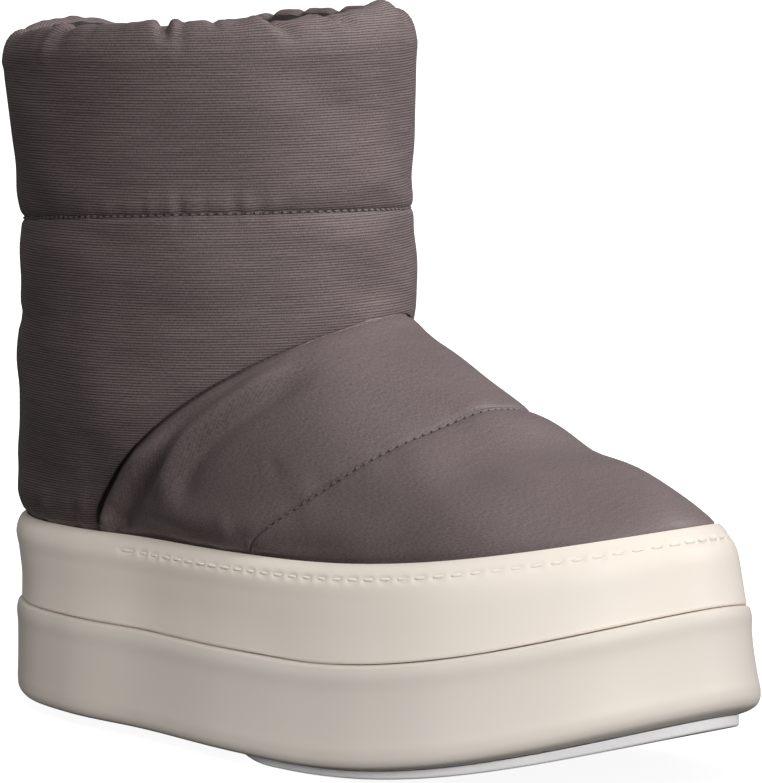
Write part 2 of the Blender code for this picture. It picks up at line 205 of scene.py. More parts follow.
# Puckers at the ring line, whose size drifts, with the bearing and spread where they are strongest.
Pucker = namedtuple("Pucker", "size seed length drift drift_length")
RING_PUCKERS = [Pucker(0.2, 5, 9.0, 0.45, 70.0), Pucker(0.28, 7, 4.6, 0.5, 60.0)]
PUCKER_MOST = (-45.0, 42.0)
PUCKER_RANGE = (0.5, 1.2)
# Bands of puckers beside the sewn lines.
Band = namedtuple("Band", "strength off width")
BAND_OVER_RING = Band(1.0, 2.0, 4.5)
BAND_UNDER_RING = Band(0.35, 1.5, 3.5)
BAND_AT_VAMP_LINES = Band(1.0, 3.0, 4.0)

# Resolution and limits of the visible meshes.
EDGE_SAMPLES = 60
HEEL_COLUMNS = 84
WING_COLUMNS = 60
TOE_COLUMNS = 76
SEAM_CROWD = 1.5
SOLE_COLUMNS = 960
TOE_ROWS = 30
VAMP_ROWS = 36
SHAFT_ROWS = 54
COLLAR_ROWS = 42
ROLL_ROWS = 14
TURNED_IN_ROWS = 2
LINING_ROWS = 36
ROW_CROWD = 0.75
CURVE_STEP = 0.3
FAR = 1e3
LOST_NORMAL = 0.02
TINY = 1e-12

# Stitches: distance between them, length, thickness of the thread, height of its middle, sink of its ends.
Stitch = namedtuple("Stitch", "pitch length thread proud sink")
CLOTH_STITCH = Stitch(2.85, 2.75, 0.85, 0.45, 0.7)
SOLE_STITCH = Stitch(6.6, 4.6, 0.95, -0.15, 0.5)
SOLE_STITCH_DROP = 4.5
SOLE_STITCH_START = 97.0
SOLE_FIRST_LENGTH = 9.0
RECESS_DEPTH = 0.5
RECESS_WIDTH = 1.0
RECESS_SHARE = 0.62
SOLE_STITCH_INSET = 0.42
SOLE_STITCH_SAMPLES = 2400
SOLE_FIRST_GAP = 2.0
BARE_QUILT_COLUMNS = 8
THREAD_SIDES = 8
THREAD_SPANS = 8
THREAD_END = (6, 0.02)
THREAD_DIP_POWER = 4
TANGENT_STEP = 0.8

# Soft ridges (positive) and troughs of the cloth, each along a smooth line through points on the shell.
Fold = namedtuple("Fold", "height width points")
FOLDS = [
    Fold(3.1, 2.9, [(87, -45, 70), (92.3, -47, 76), (100.5, -49.5, 83.5), (109.5, -50.2, 91),
                    (119, -49.2, 98), (127, -47, 104.5)]),
    Fold(-2.9, 2.7, [(92.5, -45.8, 68), (97.5, -47.3, 72), (107, -49.7, 80.5), (115.8, -50, 89),
                     (122.3, -48.8, 96), (128.5, -47, 101)]),
    Fold(3.2, 3.5, [(113, -50.2, 75), (118.3, -50.3, 82), (124, -49.8, 90), (129.5, -48.2, 98.5),
                    (136, -45, 104.5), (144, -40.5, 111), (151.5, -34, 117), (157, -24, 123.5)]),
    Fold(-2.7, 3.7, [(122.5, -50.4, 77), (127, -50.5, 83), (131.8, -49.7, 90), (137.5, -48.2, 96.5),
                     (144.5, -45, 103.5), (153.5, -39.5, 111), (162, -31, 116.5), (166, -23, 121)]),
    Fold(-1.8, 1.7, [(94.5, -47.8, 76.5), (92.5, -47, 74), (89.5, -45.2, 69.5), (87.5, -43.7, 65.6)]),
    Fold(0.4, 2.0, [(88, -45.8, 72), (84.5, -43.6, 65.6)]),
    Fold(0.7, 3.0, [(148.5, -50.3, 77), (151, -49.6, 71.7), (147, -48.5, 66)]),
    Fold(0.9, 7.0, [(100.5, -52, 99), (114, -50.6, 111), (128, -45.5, 122), (141.5, -36, 130.5),
                    (153, -21, 137)]),
    Fold(-0.5, 2.2, [(167, -45, 95), (170, -46, 88)]),
    Fold(-1.0, 3.0, [(20, -18, 131), (30, -35, 131), (44, -47, 130.5), (60, -54, 131)]),
    Fold(-0.9, 2.0, [(48, -42, 75), (44, -37.6, 64)]),
    Fold(0.7, 3.0, [(54, -44, 76), (51, -41, 64)]),
    Fold(-0.7, 2.2, [(70.6, -46.2, 76), (66.5, -42.5, 64)]),
    Fold(0.6, 3.0, [(76, -48, 77), (72, -44, 65)]),
    Fold(-0.5, 6.0, [(60, -54, 131), (77, -56.7, 132), (106, -55, 135), (132, -44, 137), (146, -32, 137.5)]),
    Fold(-2.9, 14.0, [(216, -30, 91), (228, -10, 99), (236, 8, 102), (236.5, 24, 99), (233, 36, 91),
                      (227, 46, 79)]),
    Fold(1.4, 4.5, [(95, 44, 72), (104, 47, 86), (116, 47, 98), (128, 44, 108)]),
    Fold(-1.6, 4.0, [(104, 44, 68), (112, 47, 80), (124, 47, 92), (138, 43, 104)]),
    Fold(1.3, 5.5, [(122, 45, 70), (132, 46, 82), (146, 43, 96), (156, 36, 108)]),
    Fold(-0.8, 2.2, [(58, 43, 76), (54, 39, 64)]),
]
# A fold fades in over some widths, at most a share of its length, and fades out from a share on.
# One with an end below the lowest height keeps its strength at that end.
FOLD_FADE_WIDTHS = 4.0
FOLD_FADE_MOST = 0.22
FOLD_FADE_OUT = 0.72
FOLD_LOWEST = 75.0
FOLD_LOW_FADE = 0.45
FOLD_REACH = 3.5
FOLD_SAMPLES = 12

# Gathers of the rim: bearing in degrees, depth, half width, turn in degrees for each millimetre down,
# height of the shoulder at the lower bearing, reach down the outside and the inside of the collar.
Pleat = namedtuple("Pleat", "bearing depth width slant shoulder out inside")
PLEATS = [Pleat(*row) for row in (
    (-95.0, -1.0, 1.6, -0.25, 0.0, 19.0, 8.0), (-91.0, 1.0, 2.4, -0.25, 0.0, 17.0, 10.0),
    (-60.0, 3.4, 1.5, 0.35, 0.6, 12.0, 16.0), (-54.0, 0.9, 1.4, 0.1, 0.4, 18.0, 8.0),
    (-45.0, 0.9, 1.2, 0.3, 0.2, 9.0, 9.0), (-28.5, 2.0, 1.7, 0.9, 1.1, 11.0, 14.0),
    (-9.5, 2.2, 1.6, 1.2, 1.0, 11.0, 16.0), (27.0, 1.2, 2.8, 0.2, 0.3, 15.0, 14.0),
    (49.0, 2.4, 2.0, -0.4, 0.8, 14.0, 16.0), (88.0, 1.4, 2.2, 0.2, 0.5, 16.0, 15.0),
    (101.0, 1.2, 1.6, 0.0, 0.2, 9.0, 18.0), (112.0, 1.4, 1.6, 0.0, 0.2, 9.0, 18.0),
    (131.0, 2.6, 1.8, 0.5, 1.0, 14.0, 15.0), (158.0, 1.0, 2.2, 0.2, 0.4, 15.0, 12.0),
    (-146.0, 1.0, 2.0, -0.3, 0.4, 15.0, 14.0), (-131.0, 2.0, 1.8, 0.4, 0.8, 14.0, 15.0),
)]

# Height of the rim round the shaft.
Rim = namedtuple("Rim", "bearing z")
RIM = [Rim(*row) for row in (
    (-176.0, 225.7), (-166.0, 225.4), (-160.0, 225.2), (-153.0, 223.0), (-125.0, 222.4),
    (-110.0, 225.0), (-99.0, 226.2), (-83.0, 226.8), (-58.0, 227.6), (-42.0, 228.8), (-28.0, 226.6),
    (-16.0, 227.9), (-9.0, 227.6), (-3.0, 228.8), (8.0, 229.6), (18.0, 232.4), (30.0, 228.6),
    (43.0, 227.4), (55.0, 227.4), (70.0, 229.0), (91.0, 227.5), (106.0, 226.3), (117.0, 224.6),
    (126.0, 222.6), (145.0, 221.4), (160.0, 222.6), (166.0, 223.0), (173.0, 225.1),
)]
RIM_SOFTNESS = 5.0
RIM_STEP = 0.5
RIM_BLUR_STEPS = 24

# Pleats: lowest depth that turns them, growth of their width, shoulder's place and width, start of the fade.
PLEAT_INSIDE = -4.0
PLEAT_GROWTH = 0.6
PLEAT_SHOULDER = (2.2, 1.7)
PLEAT_FADE = 0.35

# Camera of the photograph: place, directions and focal length in pixels of its 783 pixel side.
CAMERA_PLACE = (1.195445, -1.030560, 0.289312)
CAMERA_RIGHT = (0.6593978, 0.75143175, -0.0233422)
CAMERA_UP = (-0.06965288, 0.09197812, 0.99332195)
CAMERA_BACK = (0.74856063, -0.65336846, 0.11298956)
CAMERA_FOCAL_PX = 5062.98
PHOTO_LONG_SIDE_PX = 783
SENSOR_MM = 36.0
CAMERA_CLIP = (0.05, 100.0)


def hermite(start, end, leave, arrive, u):
    """Cubic between two values with the given end slopes."""
    return (start * (1 - u) ** 2 * (1 + 2 * u) + end * u ** 2 * (3 - 2 * u)
            + leave * u * (1 - u) ** 2 - arrive * u ** 2 * (1 - u))


def smooth_curve(points, samples, closed):
    """Smooth curve through the points, closed or open."""
    points = np.asarray(points, float)
    if closed:
        points = np.vstack([points[-1:], points, points[:2]])
    else:
        points = np.vstack([2 * points[0] - points[1], points, 2 * points[-1] - points[-2]])
    step = np.diff(points, axis=0)
    chord = np.linalg.norm(step, axis=1)[:, None]
    slope = step / chord
    tangent = (slope[1:] * chord[:-1] + slope[:-1] * chord[1:]) / (chord[:-1] + chord[1:])
    u = np.linspace(0, 1, samples, endpoint=False)[:, None]
    spans = []
    for k in range(len(tangent) - 1):
        leave, arrive = tangent[k:k + 2] * chord[k + 1]
        spans.append(hermite(points[k + 1], points[k + 2], leave, arrive, u))
    if not closed:
        spans.append(points[-2:-1])
    return np.vstack(spans)


def table_curve(rows, at):
    """Smooth values of a table's other columns at places along its first one."""
    table = np.array(rows)
    keys = table[:, 0]
    k = np.clip(np.searchsorted(keys, at) - 1, 0, len(keys) - 2)
    span = keys[k + 1] - keys[k]
    u = np.clip((at - keys[k]) / span, 0, 1)
    for values in table[:, 1:].T:
        slopes = np.gradient(values, keys)
        yield hermite(values[k], values[k + 1], slopes[k] * span, slopes[k + 1] * span, u)


def unit(vectors):
    return vectors / np.linalg.norm(vectors, axis=-1, keepdims=True)


def smooth_ramp(x, start, end):
    u = np.clip((x - start) / (end - start), 0, 1)
    return u * u * (3 - 2 * u)


def bell(x, width):
    return np.exp(-(x / width) ** 2)


def ripple(points, seed, length, stretch=(1.0, 1.0, 1.0)):
    """Smooth even noise of about unit size with the given wavelength."""
    draw = np.random.default_rng(seed)
    direction = unit(draw.normal(size=(RIPPLE_WAVES, 3)))
    wave = direction * (2 * math.pi / (length * draw.uniform(*RIPPLE_LENGTHS, RIPPLE_WAVES)))[:, None]
    phase = draw.uniform(0, 2 * math.pi, RIPPLE_WAVES)
    total = np.zeros(len(points))
    for k in range(RIPPLE_WAVES):
        total += np.sin((points / stretch) @ wave[k] + phase[k])
    return total / math.sqrt(RIPPLE_WAVES / 2)


def ripples(points, waves):
    return sum(wave.size * ripple(points, wave.seed, wave.length, wave.stretch) for wave in waves)


lateral_side = [(row.x, -row.lateral) for row in OUTLINE]
medial_side = [(row.x, row.medial) for row in reversed(OUTLINE)]
outline = [(0.0, 0.0)] + lateral_side + [(STEP_LENGTH, TOE_TIP_Y)] + medial_side
EDGE = smooth_curve(outline, EDGE_SAMPLES, True)
along = unit(np.roll(EDGE, -1, axis=0) - np.roll(EDGE, 1, axis=0))
EDGE_NORMAL = np.column_stack([along[:, 1], -along[:, 0]])
lengths = np.linalg.norm(np.roll(EDGE, -1, axis=0) - EDGE, axis=1)
EDGE_LENGTH = lengths.sum()
EDGE_RUN = np.concatenate([[0.0], np.cumsum(lengths)[:-1]]) / EDGE_LENGTH
TOE_INDEX = int(np.argmax(EDGE[:, 0]))


def run_at(x, lateral):
    """Place along the sole's edge, from 0 at the heel round to 1, where one side crosses a station."""
    if lateral:
        return float(np.interp(x, EDGE[:TOE_INDEX, 0], EDGE_RUN[:TOE_INDEX]))
    return float(np.interp(x, EDGE[:TOE_INDEX:-1, 0], EDGE_RUN[:TOE_INDEX:-1]))


def on_edge(run, values):
    """Values of the sole's edge at places along it."""
    return np.column_stack([np.interp(run, EDGE_RUN, values[:, axis], period=1) for axis in (0, 1)])


def edge_at(run, inset):
    """Plan points on the sole's edge moved inwards."""
    return on_edge(run, EDGE) - on_edge(run, EDGE_NORMAL) * np.reshape(inset, (-1, 1))


def toe_rise(x, rise):
    return rise * np.clip((x - SPRING_START) / (STEP_LENGTH - SPRING_START), 0, None) ** 2


def lip_at(x):
    return LIP_HEIGHT + LIP_TILT * (x / STEP_LENGTH - 0.5) + toe_rise(x, LIP_SPRING)


def step_at(x):
    return STEP_HEIGHT + toe_rise(x, STEP_SPRING)


def floor_at(x):
    return FLOOR_HEIGHT + toe_rise(x, (STEP_SPRING + LIP_SPRING) / 2)


def station(run):
    return edge_at(run, 0.0)[:, 0]


def flare(run):
    return FLARE_HEEL + (FLARE_TOE - FLARE_HEEL) * station(run) / STEP_LENGTH


def lean(run):
    return LEAN_HEEL + (LEAN_TOE - LEAN_HEEL) * smooth_ramp(station(run), *LEAN_STATIONS)


def tread_inset(run):
    return TREAD_INSET_HEEL + (TREAD_INSET_BALL - TREAD_INSET_HEEL) * smooth_ramp(station(run), *TREAD_WAIST)


def ring(run, inset, height):
    """Loop along the sole's edge, moved inwards, at a height for each station."""
    plan = edge_at(run, inset)
    return np.column_stack([plan, height(plan[:, 0])])


def cup_height(share):
    return lambda x: step_at(x) + GAP + (lip_at(x) - step_at(x) - GAP) * share


def crowd(count):
    """Shares from 0 to 1, closer at both ends."""
    t = np.linspace(0, 1, count)
    return t - ROW_CROWD * np.sin(2 * math.pi * t) / (2 * math.pi)


def lathe_normals(rows):
    """Outward normals of a stack of loops. A collapsed row takes the normal of the row above it."""
    round_step = np.roll(rows, -1, axis=1) - np.roll(rows, 1, axis=1)
    up_step = np.gradient(rows, axis=0)
    normals = np.cross(round_step, up_step)
    size = np.linalg.norm(normals, axis=2)
    for k in range(len(rows) - 2, -1, -1):
        lost = size[k] < LOST_NORMAL
        normals[k][lost] = normals[k + 1][lost]
        size[k][lost] = size[k + 1][lost]
    return normals / size[..., None]


def link_object(name, data):
    made = bpy.data.objects.new(name, data)
    bpy.context.scene.collection.objects.link(made)
    return made


def smooth_mesh(name, points, faces, materials):
    """Smooth mesh of points in millimetres."""
    mesh = bpy.data.meshes.new(name)
    mesh.from_pydata(((points - ORIGIN) * MM).tolist(), [], faces)
    mesh.polygons.foreach_set("use_smooth", [True] * len(faces))
    for material in materials:
        mesh.materials.append(material)
    return mesh


def lay_cloth(mesh, uv):
    layer = mesh.uv_layers.new(name="cloth")
    layer.data.foreach_set("uv", uv.astype(np.float32).ravel())


class Sheet:
    """Mesh through a grid of points whose columns run round. Equal points become one vertex."""

    def __init__(self, grid, closed):
        rows, columns = grid.shape[:2]
        flat = grid.reshape(-1, 3)
        _, first, index = np.unique(np.round(flat, 3), axis=0, return_index=True, return_inverse=True)
        self.shape = (rows, columns)
        self.first = first
        self.index = index.reshape(rows, columns)
        self.points = flat[first].copy()
        row = np.arange(rows if closed else rows - 1)[:, None]
        column = np.arange(columns)[None, :]
        after = (column + 1) % columns
        above = (row + 1) % rows
        corners = [(row, column), (row, after), (above, after), (above, column)]
        self.quads = np.stack([self.index[r, c] for r, c in corners], axis=-1).reshape(-1, 4)
        spot = (row * (columns + 1) + column)[..., None]
        self.spots = (spot + (0, 1, columns + 2, columns + 1)).reshape(-1, 4)
        self.caps = []

    def cap(self, row, flip):
        """Close the loop of one row with strips across it."""
        loop = self.index[row].tolist()
        count = len(loop)
        for k in range(count // 2):
            strip = (loop[k], loop[k + 1], loop[(-k - 1) % count], loop[-k % count])
            self.caps.append(strip[::-1] if flip else strip)

    def normals(self, smooth):
        """Vertex normals, averaged over neighbours a number of times."""
        a, b, c, d = (self.points[self.quads[:, k]] for k in range(4))
        face = np.cross(c - a, d - b)
        total = np.zeros_like(self.points)
        for k in range(4):
            np.add.at(total, self.quads[:, k], face)
        total /= np.linalg.norm(total, axis=1)[:, None] + TINY
        for _ in range(smooth):
            gathered = total.copy()
            for k in range(4):
                np.add.at(gathered, self.quads[:, k], total[self.quads[:, (k + 1) % 4]])
            total = gathered / (np.linalg.norm(gathered, axis=1)[:, None] + TINY)
        return total

    def build(self, name, materials, uv=None, paint=None):
        """Object of the mesh. uv is a grid with one more row and column, paint a material for each row."""
        rows = np.arange(len(self.quads)) // self.shape[1]
        parts = list(zip(self.quads.tolist(), self.spots.tolist(), rows.tolist()))
        faces, picks, slots = [], [], []
        for quad, spot, row in parts + [(strip, (0,) * 4, 0) for strip in self.caps]:
            kept = dict(zip(quad[::-1], spot[::-1]))
            if len(kept) > 2:
                corners = list(dict.fromkeys(quad))
                faces.append(corners)
                picks.extend(kept[v] for v in corners)
                slots.append(row)
        mesh = smooth_mesh(name, self.points, faces, materials)
        if paint is not None:
            mesh.polygons.foreach_set("material_index", paint.astype(np.int32)[np.array(slots)])
        if uv is not None:
            lay_cloth(mesh, uv.reshape(-1, 2)[np.array(picks)])
        mesh.update()
        return link_object(name, mesh)


def capped_sheet(rows):
    """Mesh of a stack of loops, closed at its first and last one."""
    sheet = Sheet(np.array(rows), False)
    sheet.cap(0, True)
    sheet.cap(len(rows) - 1, False)
    return sheet


def point_tree(points, numbers):
    """Search tree of some of the points."""
    tree = KDTree(len(numbers))
    for k in numbers:
        tree.insert(points[k], int(k))
    tree.balance()
    return tree


def near_curve(curve, points, reach):
    """Distance from a curve and place along it, from 0 to 1, of each point. Far points keep a large one."""
    dense = []
    for k in range(len(curve) - 1):
        count = max(2, int(np.linalg.norm(curve[k + 1] - curve[k]) / CURVE_STEP))
        share = np.linspace(0, 1, count, endpoint=False)[:, None]
        dense.append(curve[k] + (curve[k + 1] - curve[k]) * share)
    dense = np.vstack(dense + [curve[-1:]])
    tree = point_tree(dense, range(len(dense)))
    distance = np.full(len(points), FAR)
    place = np.zeros(len(points))
    close = np.all((points > dense.min(axis=0) - reach) & (points < dense.max(axis=0) + reach), axis=1)
    for k in np.flatnonzero(close):
        _, number, gap = tree.find(points[k])
        distance[k] = gap
        place[k] = number / len(dense)
    return distance, place


def laid_on(line, tree, points, normals):
    """A line moved square to the shell until it lies on it."""
    nearest = [tree.find(place)[1] for place in line]
    off = ((line - points[nearest]) * normals[nearest]).sum(axis=1)
    return line - normals[nearest] * off[:, None]


# Columns of the upper round the sole's edge: heel to seam, seam to quilt line, quilt line to toe.
SEAM_RUNS = (run_at(SEAM_STATION, True), run_at(SEAM_STATION, False))
QUILT_RUNS = (run_at(QUILT_STATION, True), run_at(QUILT_STATION, False))
TOE_RUN = EDGE_RUN[TOE_INDEX]
Stretch = namedtuple("Stretch", "run columns crowd_start crowd_end")
STRETCHES = [
    Stretch(0.0, HEEL_COLUMNS, 1.0, 1.0),
    Stretch(SEAM_RUNS[0], WING_COLUMNS, SEAM_CROWD, 1.0),
    Stretch(QUILT_RUNS[0], TOE_COLUMNS, 1.0, 1.0),
    Stretch(TOE_RUN, TOE_COLUMNS, 1.0, 1.0),
    Stretch(QUILT_RUNS[1], WING_COLUMNS, 1.0, SEAM_CROWD),
    Stretch(SEAM_RUNS[1], HEEL_COLUMNS, 1.0, 1.0),
]


def stretch_runs(stretch, end):
    share = np.linspace(0, 1, stretch.columns, endpoint=False)
    share = 1 - (1 - share ** stretch.crowd_start) ** stretch.crowd_end
    return stretch.run + (end - stretch.run) * share


ENDS = [stretch.run for stretch in STRETCHES[1:]] + [1.0]
RUN = np.concatenate([stretch_runs(stretch, end) for stretch, end in zip(STRETCHES, ENDS)])
COUNT = len(RUN)
FOOT_PLAN = edge_at(RUN, CUP_WALL + lean(RUN) + GAP)
FOOT_Z = cup_height(TUCK_SHARE)(FOOT_PLAN[:, 0])
FOOT_ROW = np.column_stack([FOOT_PLAN, FOOT_Z])
BEARING = np.interp(RUN, (0.0, SEAM_RUNS[0], TOE_RUN, SEAM_RUNS[1], 1.0),
                    np.radians((-180.0, -90.0, 0.0, 90.0, 180.0)))
IN_VAMP = (RUN > SEAM_RUNS[0]) & (RUN < SEAM_RUNS[1])
BY_QUILT = (RUN >= QUILT_RUNS[0]) & (RUN <= QUILT_RUNS[1])


def shaft_section(z, bearing):
    back, front, lateral, medial = table_curve(SHAFT, z)
    ahead, across = np.cos(bearing), np.sin(bearing)
    reach = (front - back) / 2 * np.sign(ahead) * np.abs(ahead) ** (2 / SHAFT_POWER)
    width = np.where(across < 0, lateral, medial) * np.sign(across) * np.abs(across) ** (2 / SHAFT_POWER)
    return np.column_stack([(front + back) / 2 + reach, width])


def pillow(u):
    return np.clip(np.sin(np.pi * u), 0, None) ** PILLOW_POWER


def across_vamp(values):
    return np.where(IN_VAMP, np.interp(RUN, SEAM_RUNS, np.interp(SEAM_RUNS, RUN, values)), values)


BASE_Z = across_vamp(FOOT_Z)
apex = math.radians(SEAM_APEX_BEARING)
turn = np.where(BEARING < apex, apex - BEARING, BEARING - apex)
reach = np.where(BEARING < apex, apex + math.pi / 2, math.pi / 2 - apex)
SEAM_RISE = np.clip(1 - (turn / reach) ** 2, 0, 1) ** SEAM_POWER * IN_VAMP
SEAM_Z = BASE_Z + (SEAM_APEX - BASE_Z) * SEAM_RISE
crown = np.clip(np.cos(BEARING - math.radians(RING_CROWN_BEARING)), 0, None) ** RING_CROWN_POWER
RING_Z = RING_HEIGHT + RING_TILT * np.cos(BEARING) + RING_CROWN * crown
rim_turn = np.radians(np.arange(-180.0, 180.0, RIM_STEP))
rim_bearings = np.radians([row.bearing for row in RIM])
rim_heights = np.interp(rim_turn, rim_bearings, [row.z for row in RIM], period=2 * math.pi)
rim_blur = bell(np.arange(-RIM_BLUR_STEPS, RIM_BLUR_STEPS + 1) * RIM_STEP, RIM_SOFTNESS)
rim_heights = np.convolve(np.tile(rim_heights, 3), rim_blur / rim_blur.sum(), "same")
rim_heights = rim_heights[len(rim_turn):2 * len(rim_turn)]
RIM_Z = np.interp(BEARING, rim_turn, rim_heights, period=2 * math.pi)
PULL = FOOT_PLAN - shaft_section(BASE_Z, BEARING)
PULL = np.column_stack([across_vamp(PULL[:, 0]), across_vamp(PULL[:, 1])])


def shaft_row(z):
    rise = np.clip((z - BASE_Z) / (RING_Z - BASE_Z), 0, 1)[:, None]
    draw = (1 - rise) ** HEEL_DRAW * (1 + HEEL_DRAW * rise)
    return np.column_stack([shaft_section(z, BEARING) + PULL * draw, z])


SEAM_ROW = shaft_row(SEAM_Z)
VAMP_SPAN = np.linalg.norm(SEAM_ROW - FOOT_ROW, axis=1)
quilt_arc = np.clip(np.sin(np.pi * np.interp(RUN, QUILT_RUNS, (0.0, 1.0))), 0, None)
QUILT = QUILT_APEX_SHARE * quilt_arc ** QUILT_CURVE


def vamp_row(share):
    row = FOOT_ROW + (SEAM_ROW - FOOT_ROW) * share[:, None]
    rounded = (1 - (1 - share) ** TOE_ROUND) ** TOE_EDGE
    lift = TOE_FULLNESS * rounded + (1 - TOE_FULLNESS) * share ** VAMP_SAG
    row[:, 2] = FOOT_Z + (SEAM_Z - FOOT_Z) * lift
    return row


class Upper:
    """Rows of the hollow upper: outside from the tuck to the roll, then over the rim and down the lining."""

    def __init__(self):
        base, lift, zone = [], [], []

        def add(name, row, puff):
            zone.append(name)
            base.append(row)
            lift.append(puff)

        step = SEAM_STEP / 2 * smooth_ramp(VAMP_SPAN, *PUFF_SPAN) * IN_VAMP
        toe_puff = TOE_PUFF * smooth_ramp(VAMP_SPAN * QUILT, *PUFF_SPAN)
        vamp_puff = VAMP_PUFF * smooth_ramp(VAMP_SPAN * (1 - QUILT), *PUFF_SPAN)
        shaft_puff = SHAFT_PUFF * smooth_ramp(RING_Z - SEAM_Z, *PUFF_SPAN)
        add("tuck", np.column_stack([FOOT_PLAN, floor_at(FOOT_PLAN[:, 0]) + GAP]), np.zeros(COUNT))
        for u in crowd(TOE_ROWS):
            add("vamp", vamp_row(QUILT * u), toe_puff * pillow(u))
        self.quilt_row = len(base) - 1
        for u in crowd(VAMP_ROWS)[1:]:
            add("vamp", vamp_row(QUILT + (1 - QUILT) * u), vamp_puff * pillow(u))
        lift[-1] = lift[-1] - step
        self.seam_row = len(base) - 1
        for u in crowd(SHAFT_ROWS):
            puff = shaft_puff * pillow(u) + step * (1 - u) ** SEAM_STEP_POWER
            add("shaft", shaft_row(SEAM_Z + (RING_Z - SEAM_Z) * u), puff)
        self.ring_row = len(base) - 1
        for u in crowd(COLLAR_ROWS)[1:]:
            puff = COLLAR_PUFF * (1 - math.exp(-u / COLLAR_TURN)) + COLLAR_SPREAD * u ** COLLAR_SPREAD_POWER
            add("collar", shaft_row(RING_Z + (RIM_Z - ROLL_HEIGHT - RING_Z) * u), np.full(COUNT, puff))
        base, lift = np.array(base), np.array(lift)
        lift *= smooth_ramp(base[:, :, 2] - FOOT_Z, *LIP_CLEAR)
        normals = lathe_normals(base)
        for k, source in ((0, 1), (-1, -1)):
            normals[k] = unit(normals[source] * (1.0, 1.0, 0.0))
        rows = base + normals * lift[..., None]
        quilted = QUILT > LEAST_QUILT
        for _ in range(FOOT_SMOOTHING):
            below, at, above = (rows[k:TOE_ROWS - 2 + k, quilted] for k in (1, 2, 3))
            rows[2:TOE_ROWS, quilted] = (below + 2 * at + above) / 4
        rows = list(rows)
        top = len(base) - 1
        for angle in np.linspace(0, math.pi, ROLL_ROWS + 2)[1:-1]:
            across = (lift[-1] - COLLAR_WALL) / 2 + (lift[-1] + COLLAR_WALL) / 2 * math.cos(angle)
            rows.append(base[-1] + normals[-1] * across[:, None] + (0.0, 0.0, ROLL_HEIGHT * math.sin(angle)))
            zone.append("roll")
        keys = (0, 1, self.quilt_row, self.seam_row, self.ring_row, top - COLLAR_ROWS // 2, top)
        walls = (TUCK_WALL, TUCK_WALL, WALL, WALL, RING_WALL, COLLAR_WALL, COLLAR_WALL)
        for k in np.unique(np.linspace(top, 1, LINING_ROWS).astype(int))[::-1].tolist() + [0]:
            rows.append(base[k] - normals[k] * np.interp(k, keys, walls))
            zone.append("lining")
        self.grid = np.array(rows)
        self.zone = np.array(zone)
        self.top = top
        self.crest = top + 1 + ROLL_ROWS // 2


def cloth_uv(upper):
    """Millimetres along and across the ribs of the cloth, round the shaft and over the vamp."""
    grid = np.concatenate([upper.grid, upper.grid[:, :1]], axis=1)
    grid = np.concatenate([grid, grid[:1]], axis=0)
    x, y, z = grid[..., 0], grid[..., 1], grid[..., 2]
    tilt = math.radians(VAMP_WEAVE_TILT)
    vamp = np.append(upper.zone == "vamp", False)[:, None]
    round_shaft = np.append(BEARING, math.pi) * SHAFT_RADIUS
    along = np.where(vamp, np.arctan2(y, z - VAMP_AXIS_Z) * VAMP_RADIUS, round_shaft)
    across = np.where(vamp, x * math.cos(tilt) - z * math.sin(tilt), z)
    uv = np.stack([along, across], axis=-1)
    steps = np.linalg.norm(np.diff(grid, axis=0), axis=2).mean(axis=1)
    for k in range(upper.top, len(uv) - 1):
        uv[k + 1, :, 1] = uv[k, :, 1] + steps[k]
    return uv


def drawn(gap, crease):
    return crease.depth * np.exp(-gap / crease.reach)


def beside(gap, band):
    return band.strength * bell(gap - band.off, band.width)


def fold_ends(fold, place, length):
    """Strength of a fold along its line."""
    first, last = fold.points[0][2], fold.points[-1][2]
    if min(first, last) < FOLD_LOWEST:
        if first < last:
            return 1 - smooth_ramp(place, 1 - FOLD_LOW_FADE, 1.0)
        return smooth_ramp(place, 0.0, FOLD_LOW_FADE)
    fade = min(FOLD_FADE_MOST, FOLD_FADE_WIDTHS * fold.width / length)
    return smooth_ramp(place, 0.0, fade) * (1 - smooth_ramp(place, FOLD_FADE_OUT, 1.0))


